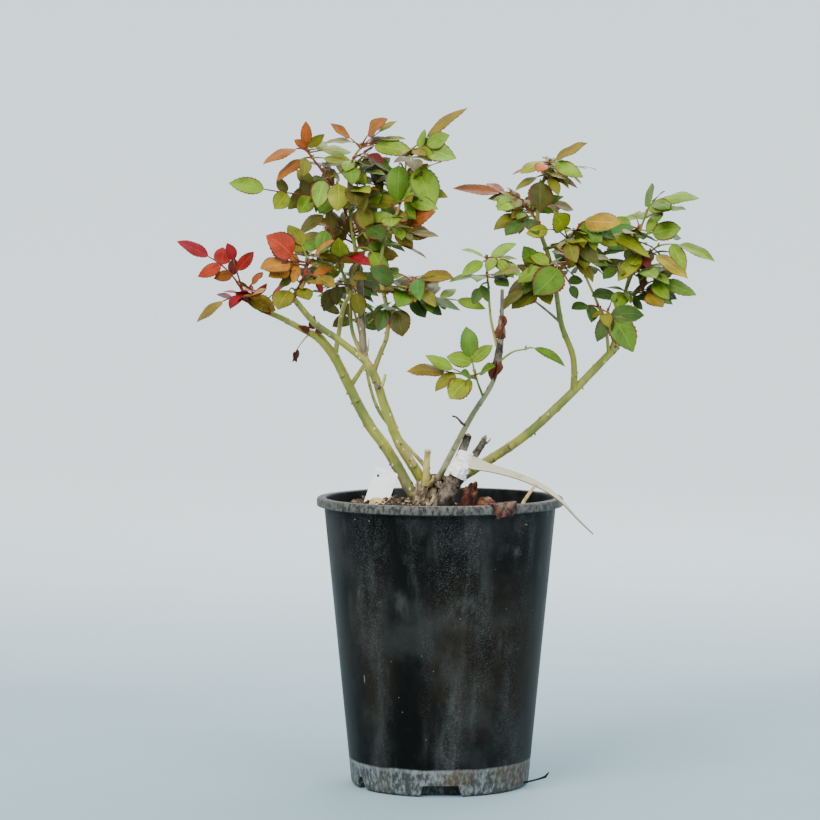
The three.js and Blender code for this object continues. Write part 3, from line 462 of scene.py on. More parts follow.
soilForm = {"edge": 217, "top": 225, "moundAt": (-14, -9), "flat": 31, "foot": 78, "rings": 46, "turns": 140,
            "rough": 1.5, "sunk": 0.4, "radius": 91.2, "base": 13, "skirt": 0.78,
            "heap": 9, "heapAt": (-57, -26), "heapWide": 40}
soilLook = {"dark": "#1a140f", "mid": "#40342a", "pale": "#a3927a", "scale": 160}
crumbForm = {"density": 90000.0, "seed": 4, "smallest": 0.25, "largest": 1.0, "size": 0.0024}
crumbLook = {"dark": "#18120d", "mid": "#3f3127", "pale": "#86755f", "scale": 260}
chipForm = {"density": 14000.0, "seed": 9, "smallest": 0.3, "largest": 1.0, "lie": 0.8, "length": 0.009,
            "width": 0.0035, "thick": 0.0009}
chipLook = {"dark": "#2f2018", "mid": "#5f4430", "pale": "#b5a284", "scale": 150}
fibreForm = {"density": 34000.0, "seed": 21, "smallest": 0.25, "largest": 1.0, "lie": 0.6, "length": 0.011,
             "width": 0.0005}
fibreLook = {"dark": "#85765a", "mid": "#bfae86", "pale": "#e2d8b8", "scale": 300}


def soilAt(x, y):
    away = math.hypot(x - soilForm["moundAt"][0], y - soilForm["moundAt"][1])
    share = min(1, max(0, (away - soilForm["flat"]) / (soilForm["foot"] - soilForm["flat"])))
    level = soilForm["top"] + (soilForm["edge"] - soilForm["top"]) * share * share * (3 - 2 * share)
    aside = math.hypot(x - soilForm["heapAt"][0], y - soilForm["heapAt"][1]) / soilForm["heapWide"]
    return level + soilForm["heap"] * math.exp(-aside ** 4)


def soilPoint(radius, angle):
    x, y = radius * math.cos(angle), radius * math.sin(angle)
    lumps = noise.noise(Vector((x, y, 3)) * 0.11) + 0.6 * noise.noise(Vector((x, y, 9)) * 0.3)
    return Vector((x, y, soilAt(x, y) - soilForm["sunk"] + soilForm["rough"] * lumps * 0.8))


def compostPile(form):
    turns = form["turns"]
    points = [soilPoint(0, 0)]
    for i in range(1, form["rings"] + 1):
        points += [soilPoint(form["radius"] * i / form["rings"], fullTurn * j / turns) for j in range(turns)]
    points += [Vector((p.x * form["skirt"], p.y * form["skirt"], form["base"])) for p in points[-turns:]]
    points.append(Vector((0, 0, form["base"])))
    return pileOf(points, shellFaces(1, form["rings"] + 1, turns, 0, len(points) - 1, True))


def earthy(name, look):  # crumbly mixed browns
    material, add, shader, place = newMaterial(name, 0.95, 0.2)
    scale = look["scale"]
    colour = blend(add, patchMask(add, place, scale, 0.35, 0.62, 6), look["dark"], look["mid"])
    colour = blend(add, times(add, patchMask(add, place, scale * 2.3, 0.56, 0.7, 3), 0.7), colour, look["pale"])
    wire(shader, Base_Color=colour, Normal=bump(add, cloud(add, place, scale * 3, 6), 0.7, 0.001))
    return material


def scatter(name, surface, form, material, shape):  # small pieces strewn over a surface by Geometry Nodes
    tree = bpy.data.node_groups.new(name + "_rule", "GeometryNodeTree")
    tree.interface.new_socket("Geometry", in_out="OUTPUT", socket_type="NodeSocketGeometry")
    identifiers = {}
    for socketName, kind in (("Surface", "Geometry"), ("Density", "Float"), ("Smallest", "Float"),
                             ("Largest", "Float"), ("Seed", "Int")):
        socket = tree.interface.new_socket(socketName, in_out="INPUT", socket_type="NodeSocket" + kind)
        identifiers[socketName] = socket.identifier
    add = nodeAdder(tree)
    given = add("NodeGroupInput").outputs
    where = {"Mesh": given["Surface"], "Density": given["Density"], "Seed": given["Seed"]}
    spread = add("GeometryNodeDistributePointsOnFaces", where).outputs
    sizes = {2: given["Smallest"], 3: given["Largest"], "Seed": given["Seed"]}
    size = add("FunctionNodeRandomValue", sizes, data_type="FLOAT").outputs[1]
    rotation = spread["Rotation"]
    if not form.get("upright"):  # turned any way, or laid nearly flat
        lie = form.get("lie", math.pi)
        turns = {0: (-lie, -lie, 0), 1: (lie, lie, fullTurn), "Seed": given["Seed"]}
        rotation = add("FunctionNodeRandomValue", turns, data_type="FLOAT_VECTOR").outputs[0]
    strewn = {"Points": spread["Points"], "Instance": shape(add, form), "Scale": size, "Rotation": rotation}
    real = add("GeometryNodeRealizeInstances", {0: add("GeometryNodeInstanceOnPoints", strewn).outputs[0]})
    painted = add("GeometryNodeSetMaterial", {"Geometry": real.outputs[0], "Material": material})
    add("NodeGroupOutput", {0: painted.outputs[0]})
    host = link(name + "_host", surface.copy())
    modifier = host.modifiers.new("scatter", "NODES")
    modifier.node_group = tree
    for socketName in ("Density", "Smallest", "Largest", "Seed"):
        modifier[identifiers[socketName]] = form[socketName.lower()]
    made = evaluated(host)
    bpy.data.objects.remove(host)
    return link(name, made, material)


def crumbShape(add, form):
    return add("GeometryNodeMeshIcoSphere", {"Radius": form["size"], "Subdivisions": 1}).outputs[0]


def chipShape(add, form):
    return add("GeometryNodeMeshCube", {"Size": (form["length"], form["width"], form["thick"])}).outputs[0]


def fibreShape(add, form):
    rod = add("GeometryNodeMeshCylinder", {"Vertices": 5, "Radius": form["width"], "Depth": form["length"]})
    return add("GeometryNodeTransform", {0: rod.outputs[0], "Rotation": (0, math.pi / 2, 0)}).outputs[0]


def prickleShape(add, form):
    cone = {"Vertices": 6, "Radius Bottom": form["radius"], "Depth": form["depth"]}
    lean = {0: add("GeometryNodeMeshCone", cone).outputs[0], "Rotation": (0.5, 0, 0), "Scale": (0.7, 1.6, 1)}
    return add("GeometryNodeTransform", lean).outputs[0]


def topOf(mesh, limit):  # a copy with only the faces above a height in mm
    form = bmesh.new()
    form.from_mesh(mesh)
    low = [f for f in form.faces if f.calc_center_median().z < limit * mm or f.normal.z < 0.3]
    bmesh.ops.delete(form, geom=low, context="FACES")
    made = bpy.data.meshes.new("top")
    form.to_mesh(made)
    form.free()
    return made


soilBed = pieceOf(compostPile(soilForm), "compost_bed", earthy("moist compost", soilLook),
                  ["potting_soil"], 80)
soilTop = topOf(soilBed.data, 200)
crumbs = scatter("compost_crumbs", soilTop, crumbForm, earthy("compost crumbs", crumbLook), crumbShape)
chips = scatter("bark_chips", soilTop, chipForm, earthy("bark chips", chipLook), chipShape)
fibres = scatter("dry_fibres", soilTop, fibreForm, earthy("dry fibres", fibreLook), fibreShape)
for litter in (crumbs, chips, fibres):
    finishPiece(litter)
print("compost made")


# Canes, boughs and stubs

limbs = {  # thickness at foot and tip, and the path between them, in mm
    "left_cane": {"foot": 9.4, "tip": 7.4, "path": [[-15, 1, 230], [-22.5, 1.5, 236], [-33.7, 5, 255.6],
        [-45.7, 9, 274.8], [-55.9, 13, 288], [-66.2, 17, 306], [-74.7, 20, 323], [-86.9, 25, 346.6],
        [-102, 30, 365]]},
    "left_branch": {"foot": 5.6, "tip": 4.4, "path": [[-99, 29, 361], [-112, 27, 368], [-131, 23, 378],
        [-145, 20, 384]]},
    "left_spur": {"foot": 4.2, "tip": 3.2, "path": [[-86, 25, 343], [-83, 28, 362], [-78, 30, 388],
        [-68, 29, 402]]},
    "middle_cane": {"foot": 8.8, "tip": 6.8, "path": [[-9, 0, 236], [-17, -6, 250.5], [-24.6, -9, 262.8],
        [-32, -12, 275], [-37.2, -14.5, 287], [-41.5, -17, 299], [-46, -19, 311], [-49.6, -20, 323],
        [-54.5, -20, 335], [-62, -20, 347]]},
    "middle_leader": {"foot": 6.4, "tip": 5.2, "path": [[-61, -19, 344], [-63, -13, 372], [-64, -8, 394],
        [-65, -5, 413]]},
    "front_bough": {"foot": 5.8, "tip": 4.6, "path": [[-60, -20, 344], [-83, -29, 362], [-101, -33, 375],
        [-117, -34, 394]]},
    "thin_stem": {"foot": 3.4, "tip": 2.8, "path": [[-61, -18, 345], [-71, -7, 368], [-72, 0, 400]]},
    "right_bough": {"foot": 4.2, "tip": 3.2, "path": [[-54, -20, 334], [-48, -23, 350], [-43, -28, 363],
        [-42, -30, 380], [-49, -33, 414]]},
    "rear_cane": {"foot": 3.4, "tip": 2.6, "path": [[-6, 3, 242], [-12, 12, 256], [-30, 26, 276],
        [-50, 36, 301], [-58, 42, 324], [-62, 50, 348]]},
    "centre_cane": {"foot": 5.4, "tip": 3, "path": [[-6, -3, 240], [0, -10, 251], [24, -30, 298],
        [43, -38, 331], [48, -42, 364], [49, -42, 401]]},
    "centre_shoot": {"foot": 2.4, "tip": 1.8, "path": [[45, -40, 356], [40, -42, 378], [38, -42, 404]]},
    "right_cane": {"foot": 8.2, "tip": 6.4, "path": [[-4, 1, 236], [12, 5, 245], [37, 10, 260], [68, 18, 280],
        [104, 25, 312], [134, 34, 342], [146, 38, 354]]},
    "right_leader": {"foot": 5.4, "tip": 3, "path": [[110, 26, 318], [109, 23, 345], [99, 15, 372],
        [94, 8, 400], [88, 4, 427], [79, 1, 456], [82, -1, 484]]},
    "right_shoot": {"foot": 4, "tip": 3, "path": [[141, 36, 350], [148, 37, 374], [152, 36, 396],
        [157, 34, 416]]},
    "right_spur": {"foot": 2.8, "tip": 2, "path": [[139, 35, 347], [136, 28, 368], [129, 20, 388],
        [118, 10, 412]]},
    "dead_twig": {"foot": 2.2, "tip": 1.6, "path": [[98, 14, 374], [85, 9, 385], [72, 4, 395]]},
    "old_stub": {"foot": 16, "tip": 12.6, "path": [[-1, -19, 219], [7, -20, 240], [18, -20, 256]]},
    "cut_stub": {"foot": 8.4, "tip": 6.6, "path": [[13, -20, 253], [17, -20, 268], [22.5, -20, 284]]},
    "dead_stub": {"foot": 7.2, "tip": 5.4, "path": [[15, -17, 250], [26, -10, 264], [36, -5, 279]]},
    "pale_stub": {"foot": 5.8, "tip": 5, "path": [[-11, -9, 243], [-11, -12, 257], [-10, -13, 271]]},
}
barkForm = {"sides": 16, "step": 1.6, "flare": 0.3, "flareLength": 5, "knuckleEvery": 19,
            "knuckleGap": (0.75, 1.3), "knuckle": 0.13, "knuckleWide": 1.5, "waver": 0.05, "ridge": 0.07}
caneLook = {"green": "#989535", "shade": "#677022", "fleck": "#e6dfb8", "scar": "#2e1c12", "grey": "#5d5446",
            "wood": "#6f5c48", "crack": "#3a2a20", "straw": "#b69f56", "brown": "#6e5434"}
ageingLook = {**caneLook, "green": "#a4a176", "shade": "#838056", "straw": "#c2b991", "wood": "#8e7858",
              "crack": "#4c392a"}
paleLook = {**caneLook, "green": "#c9bb6c", "shade": "#ac9a4c", "grey": "#94804c"}
woodTints = {  # pale and dark, and how far the cracks are drawn out along the height
    "dead": ("#6f6255", "#2a211c", 0.45), "cut": ("#a4835e", "#5c4030", 0.6),
    "sheath": ("#84603f", "#3f2717", 0.5), "scar": ("#5a3c28", "#2a1810", 1),
    "prickle": ("#8a5a3c", "#4c2c1c", 1)}
fadedWood = "#b3a48c"
prickleForm = {"density": 950.0, "seed": 5, "smallest": 0.4, "largest": 1.0, "upright": True, "radius": 0.0008,
               "depth": 0.0026}
scarForm = {"width": 0.62, "thick": 0.42, "cells": 7, "proud": 1.08, "sag": 0.9}
deadLimbs = ["old_stub", "cut_stub", "dead_stub"]
greyLimbs = ["centre_cane", "middle_leader", "dead_twig"]
scarPile = newPile()


def addScar(pile, curve, share, facing, radii):  # the dark crescent that a fallen leaf leaves above a knuckle
    frames = ringsAlong([curve["at"](share + step) for step in (-0.01, 0.0, 0.01)])
    centre, side, across, way = frames[1]
    radius = radii[min(len(radii) - 1, int(share * (len(radii) - 1)))]
    places = [2 * i / (scarForm["cells"] - 1) - 1 for i in range(scarForm["cells"])]
    points = []
    for s in places:
        angle = facing + s * scarForm["width"]
        out = side * math.cos(angle) + across * math.sin(angle)
        points.append(centre + out * (radius * scarForm["proud"]) - way * (scarForm["sag"] * (1 - s * s)))
    tube(pile, points, [scarForm["thick"] * (1 - 0.7 * abs(s)) for s in places], 5)


def limbTube(pile, limb, seed, rough=1.0, domed=True, sides=None):
    curve = smoothCurve(limb["path"])
    steps = max(8, int(curve["length"] / barkForm["step"]))
    roll = dice.Random(seed)
    knuckles = []
    place = roll.uniform(6, barkForm["knuckleEvery"])
    while place < curve["length"] - 4:
        knuckles.append((place, roll.uniform(0, fullTurn)))
        place += barkForm["knuckleEvery"] * roll.uniform(*barkForm["knuckleGap"])
    centres = [curve["at"](i / steps) for i in range(steps + 1)]
    radii = []
    for i in range(steps + 1):
        share = i / steps
        radius = (limb["foot"] + (limb["tip"] - limb["foot"]) * share) / 2
        spread = math.exp(-share * curve["length"] / barkForm["flareLength"])
        radii.append(radius * (1 + barkForm["flare"] * spread))

    def relief(along, angle, i):
        around = Vector((math.cos(angle), math.sin(angle), along * 0.22 + seed))
        ridges = noise.noise(Vector((math.cos(angle) * 3, math.sin(angle) * 3, along * 0.12)))
        value = 1 + rough * barkForm["waver"] * noise.noise(around * 1.3)
        value += (rough - 1) * barkForm["ridge"] * ridges
        for knot, facing in knuckles:
            near = math.exp(-((along - knot) / barkForm["knuckleWide"]) ** 2)
            value += barkForm["knuckle"] * near * (0.45 + 0.55 * max(0, math.cos(angle - facing)) ** 2)
        return value

    tube(pile, centres, radii, sides or barkForm["sides"], relief, domed)
    for knot, facing in knuckles:
        if domed and rough == 1.0 and radii[0] > 2.2:
            addScar(scarPile, curve, knot / curve["length"], facing, radii)


def caneBark(name, look, greyness):  # green, woody and cracked higher up where it has aged, grey near the soil
    material, add, shader, place = newMaterial(name, 0.48, 0.4)
    edge = plus(add, partsOf(add, place)[2], times(add, cloud(add, place, 60), 0.06))
    woody = times(add, reach(add, edge, 0.345, 0.375), greyness)
    bark = blend(add, patchMask(add, drawn(add, place, 0.4), 130, 0.4, 0.6, 6), look["wood"], look["crack"])
    old = reach(add, edge, 0.3, 0.268, greyness * 0.4, 0.95)
    flecks = speckMask(add, drawn(add, place, 0.6), 230, 0.22, 0.42)
    scars = speckMask(add, place, 120, 0.17, 0.34)
    scars = plus(add, scars, speckMask(add, drawn(add, place, 2), 60, 0.1, 0.3))
    shaded = patchMask(add, drawn(add, place, 0.35), 45, 0.38, 0.66, 5)
    colour = blend(add, shaded, look["green"], look["shade"])
    colour = blend(add, times(add, patchMask(add, place, 22, 0.5, 0.68), 0.5), colour, look["straw"])
    colour = blend(add, woody, colour, bark)
    colour = blend(add, times(add, old, patchMask(add, place, 90, 0.3, 0.6, 5)), colour, look["grey"])
    browned = times(add, patchMask(add, drawn(add, place, 0.5), 70, 0.56, 0.66, 5), 0.6)
    colour = blend(add, browned, colour, look["brown"])
    colour = blend(add, times(add, flecks, 0.8), colour, look["fleck"])
    colour = blend(add, times(add, scars, 0.8), colour, look["scar"])
    grain = plus(add, times(add, cloud(add, drawn(add, place, 0.3), 500, 4), 0.5), times(add, flecks, 0.6))
    wire(shader, Base_Color=colour, Roughness=plus(add, 0.42, times(add, old, 0.3)),
         Normal=bump(add, grain, 0.4, 0.0005))
    return material


def oldBark(name, pale, dark, streak):  # cracked and faded, with cracks along the height
    material, add, shader, place = newMaterial(name, 0.85, 0.25)
    crack = patchMask(add, drawn(add, place, streak), 210, 0.4, 0.58, 6)
    colour = blend(add, crack, dark, pale)
    colour = blend(add, times(add, patchMask(add, place, 60, 0.5, 0.7), 0.4), colour, fadedWood)
    wire(shader, Base_Color=colour, Normal=bump(add, crack, 0.9, 0.0012))
    return material


# small snags on the canes: kind, thickness at foot and tip, path
snags = [
    ("green", 4.2, 3.4, [(-73, 20, 322), (-68, 26, 329), (-60, 38, 341)]),
    ("pale", 2.8, 2.4, [(-48.5, -21, 321), (-45.5, -24, 327), (-44, -25, 333)]),
    ("dead", 2.4, 1.8, [(-51, -21, 321), (-49.5, -24.5, 323), (-49.6, -26, 325)]),
    ("dead", 2.2, 1.5, [(22, -27.5, 292), (17.5, -31, 294), (14.5, -31.5, 297.5), (12, -31, 299.5),
                        (9.6, -31, 299.8)]),
    ("dead", 2.6, 1.2, [(-5, -13, 246), (-2, -20, 243), (4, -24, 240)]),
    ("pale", 3, 2.2, [(-9, -14, 243), (-6, -20, 248), (-5.5, -21, 251)]),
    ("green", 3, 2, [(-101, 30, 363), (-100, 24, 369), (-99, 21, 374)]),
    ("rind", 6, 5.2, [(45, -39.4, 342), (46.8, -41, 354), (48, -41.9, 363)]),
    ("sheath", 6.2, 5, [(48, -42, 363), (48.3, -42.2, 371), (48.6, -42, 380)]),
]
greenPile, greyPile, deadPile, palePile, sheathPile, cutPile = [newPile() for _ in range(6)]
snagRules = {  # the pile that a kind of snag goes to, its roughness and sides
    "green": (greenPile, 1.2, 8), "pale": (palePile, 1.2, 8), "dead": (deadPile, 1.2, 8),
    "rind": (deadPile, 2.6, 18), "sheath": (sheathPile, 3.4, 18)}
for count, (kind, foot, tip, path) in enumerate(snags):
    pile, rough, sides = snagRules[kind]
    limbTube(pile, {"foot": foot, "tip": tip, "path": path}, 40 + count, rough, True, sides)
for count, (limbName, limb) in enumerate(limbs.items()):
    if limbName in deadLimbs:
        limbTube(deadPile, limb, count, 2.6, False)
    elif limbName == "pale_stub":
        limbTube(palePile, limb, count)
    else:
        limbTube(greyPile if limbName in greyLimbs else greenPile, limb, count)


endForm = {"cut": (0.98, 0.92, 0.7), "seed": 31, "splinters": 11, "around": 0.75, "height": (3, 6.5),
           "splay": (-0.3, 0.9), "splinter": [0.9, 0.7, 0.2], "knobs": 6, "aside": 1.6, "rise": (0.3, 1.6),
           "knob": [1.0, 1.2, 0.3]}


def endOf(limb):  # its last point, the way it points there, and its radius
    end = Vector(limb["path"][-1])
    return end, (end - Vector(limb["path"][-2])).normalized(), limb["tip"] / 2


end, way, radius = endOf(limbs["cut_stub"])  # a clean cut
tube(cutPile, [end + way * up for up in (-0.5, 0.1, 0.45)], [radius * share for share in endForm["cut"]], 18)
end, way, radius = endOf(limbs["dead_stub"])  # splinters
roll = dice.Random(endForm["seed"])
for _ in range(endForm["splinters"]):
    aside = Vector([roll.uniform(-1, 1) for _ in range(3)]) * radius * endForm["around"]
    aside -= way * aside.dot(way)
    foot = end + aside - way * 2
    top = foot + way * roll.uniform(*endForm["height"]) + aside * roll.uniform(*endForm["splay"])
    tube(cutPile, [foot, (foot + top) / 2 + aside * 0.1, top], endForm["splinter"], 5)
end = endOf(limbs["pale_stub"])[0]  # knobs
for _ in range(endForm["knobs"]):
    aside = Vector([roll.uniform(-endForm["aside"], endForm["aside"]) for _ in range(2)] + [0])
    knob = [end + aside - Vector((0, 0, 3)), end + aside * 1.3 - Vector((0, 0, 0.8)),
            end + aside * 1.1 + Vector((0, 0, roll.uniform(*endForm["rise"])))]
    tube(cutPile, knob, endForm["knob"], 6)
greenNodes = [n for n in limbs if n not in deadLimbs + greyLimbs + ["pale_stub"]]
greenBark = caneBark("young green bark", caneLook, 0.0)
greenCanes = pieceOf(greenPile, "green_canes", greenBark, greenNodes)
pieceOf(greyPile, "grey_canes", caneBark("ageing bark", ageingLook, 0.92), greyLimbs)
pieceOf(deadPile, "dead_wood", oldBark("weathered wood", *woodTints["dead"]), deadLimbs)
pieceOf(cutPile, "cut_ends", oldBark("cut and split wood", *woodTints["cut"]))
pieceOf(palePile, "pale_snag", caneBark("pale dried wood", paleLook, 0.1), ["pale_stub"])
pieceOf(sheathPile, "dry_sheath", oldBark("dry brown sheath", *woodTints["sheath"]))
pieceOf(scarPile, "leaf_scars", oldBark("leaf scar", *woodTints["scar"]))
prickleHorn = oldBark("prickle horn", *woodTints["prickle"])
finishPiece(scatter("prickles", greenCanes.data, prickleForm, prickleHorn, prickleShape))
print("canes made")


# Grafted foot of the bush: a gnarled lump with strips of bark peeling round it

footForm = {"x": -9, "z": 225, "height": 26.5, "flare": 18.5, "top": 10.8, "lean": 4, "lobes": 5,
            "lobeDepth": 0.12, "turns": 110, "rings": 50, "knobs": 2.2, "strands": 2.4, "twist": 0.7}
peelForm = {"count": 80, "seed": 14, "length": (9, 19), "width": (1.5, 3.6), "lift": (0.8, 3.2), "stations": 9,
            "thick": 0.5}
footBark = {"graft": ("#7a6a56", "#241b15", 0.45), "peel": ("#b19c7c", "#4e3e2f", 0.5)}


def footRadius(form, share, angle):
    taper = form["top"] + (form["flare"] - form["top"]) * (1 - share) ** 1.8
    lobe = 1 + form["lobeDepth"] * math.sin(form["lobes"] * angle + 2 * share)
    shoulder = math.sqrt(max(0.05, 1 - 8 * max(0, share - 0.75) ** 2))
    swirl = angle + form["twist"] * share

    def ripple(around, up):
        return noise.noise(Vector((math.cos(swirl) * around, math.sin(swirl) * around, share * up)))

    return (taper * lobe * shoulder + form["knobs"] * ripple(2.6, 3.4) - form["strands"] * abs(ripple(7, 2.6))
            + 0.5 * ripple(17, 9))


def footPoint(form, share, angle, proud=0.0):
    radius = footRadius(form, share, angle) + proud
    return Vector((form["x"] + form["lean"] * share + radius * math.cos(angle), radius * math.sin(angle),
                   form["z"] - 1 + share * form["height"]))


def graftPile(form):
    turns, rings = form["turns"], form["rings"]
    points = [footPoint(form, i / rings, fullTurn * j / turns) for i in range(rings + 1) for j in range(turns)]
    points += [Vector((form["x"], 0, form["z"] - 1)),
               Vector((form["x"] + form["lean"], 0, form["z"] + form["height"]))]
    return pileOf(points, shellFaces(0, rings + 1, turns, len(points) - 2, len(points) - 1))


def peelPile(form, foot):  # curling strips that lie against the lump
    pile = newPile()
    roll = dice.Random(form["seed"])
    for _ in range(form["count"]):
        low, angle = roll.uniform(0.0, 0.55), roll.uniform(0, fullTurn)
        length, width = roll.uniform(*form["length"]), roll.uniform(*form["width"])
        slant, lift = roll.uniform(-0.5, 0.7), roll.uniform(*form["lift"])
        points, faces = [], []
        for i in range(form["stations"] + 1):
            t = i / form["stations"]
            share = min(0.97, low + t * length / foot["height"])
            turned = angle + slant * t
            half = width / 2 * math.sin(math.pi * min(0.97, 0.12 + 0.8 * t)) ** 0.6
            away = 0.35 + lift * t ** 3 + 0.3 * math.sin(7 * t + angle)
            wide = half / footRadius(foot, share, turned)
            for s in (-1, 0, 1):
                for thick in (0.0, form["thick"]):
                    points.append(footPoint(foot, share, turned + s * wide, away + thick + 0.35 * (s == 0)))
        for i in range(form["stations"]):
            a, b = i * 6, i * 6 + 6
            faces += [[a + 1, a + 3, b + 3, b + 1], [a + 3, a + 5, b + 5, b + 3], [a + 2, a, b, b + 2],
                      [a + 4, a + 2, b + 2, b + 4], [a, a + 1, b + 1, b], [a + 5, a + 4, b + 4, b + 5]]
        end = form["stations"] * 6
        faces += [[0, 2, 3, 1], [2, 4, 5, 3]]
        faces += [[end + 1, end + 3, end + 2, end], [end + 3, end + 5, end + 4, end + 2]]
        addTo(pile, points, faces)
    return pile


graftBark = oldBark("fibrous graft bark", *footBark["graft"])
peelBark = oldBark("peeling bark", *footBark["peel"])
pieceOf(graftPile(footForm), "graft", graftBark, ["graft_union"], 60)
pieceOf(peelPile(peelForm, footForm), "bark_peel", peelBark, (), 50)
print("foot of the bush made")


# Foliage: each mass is one stem with its leaves, by the same seeded rule as its solid

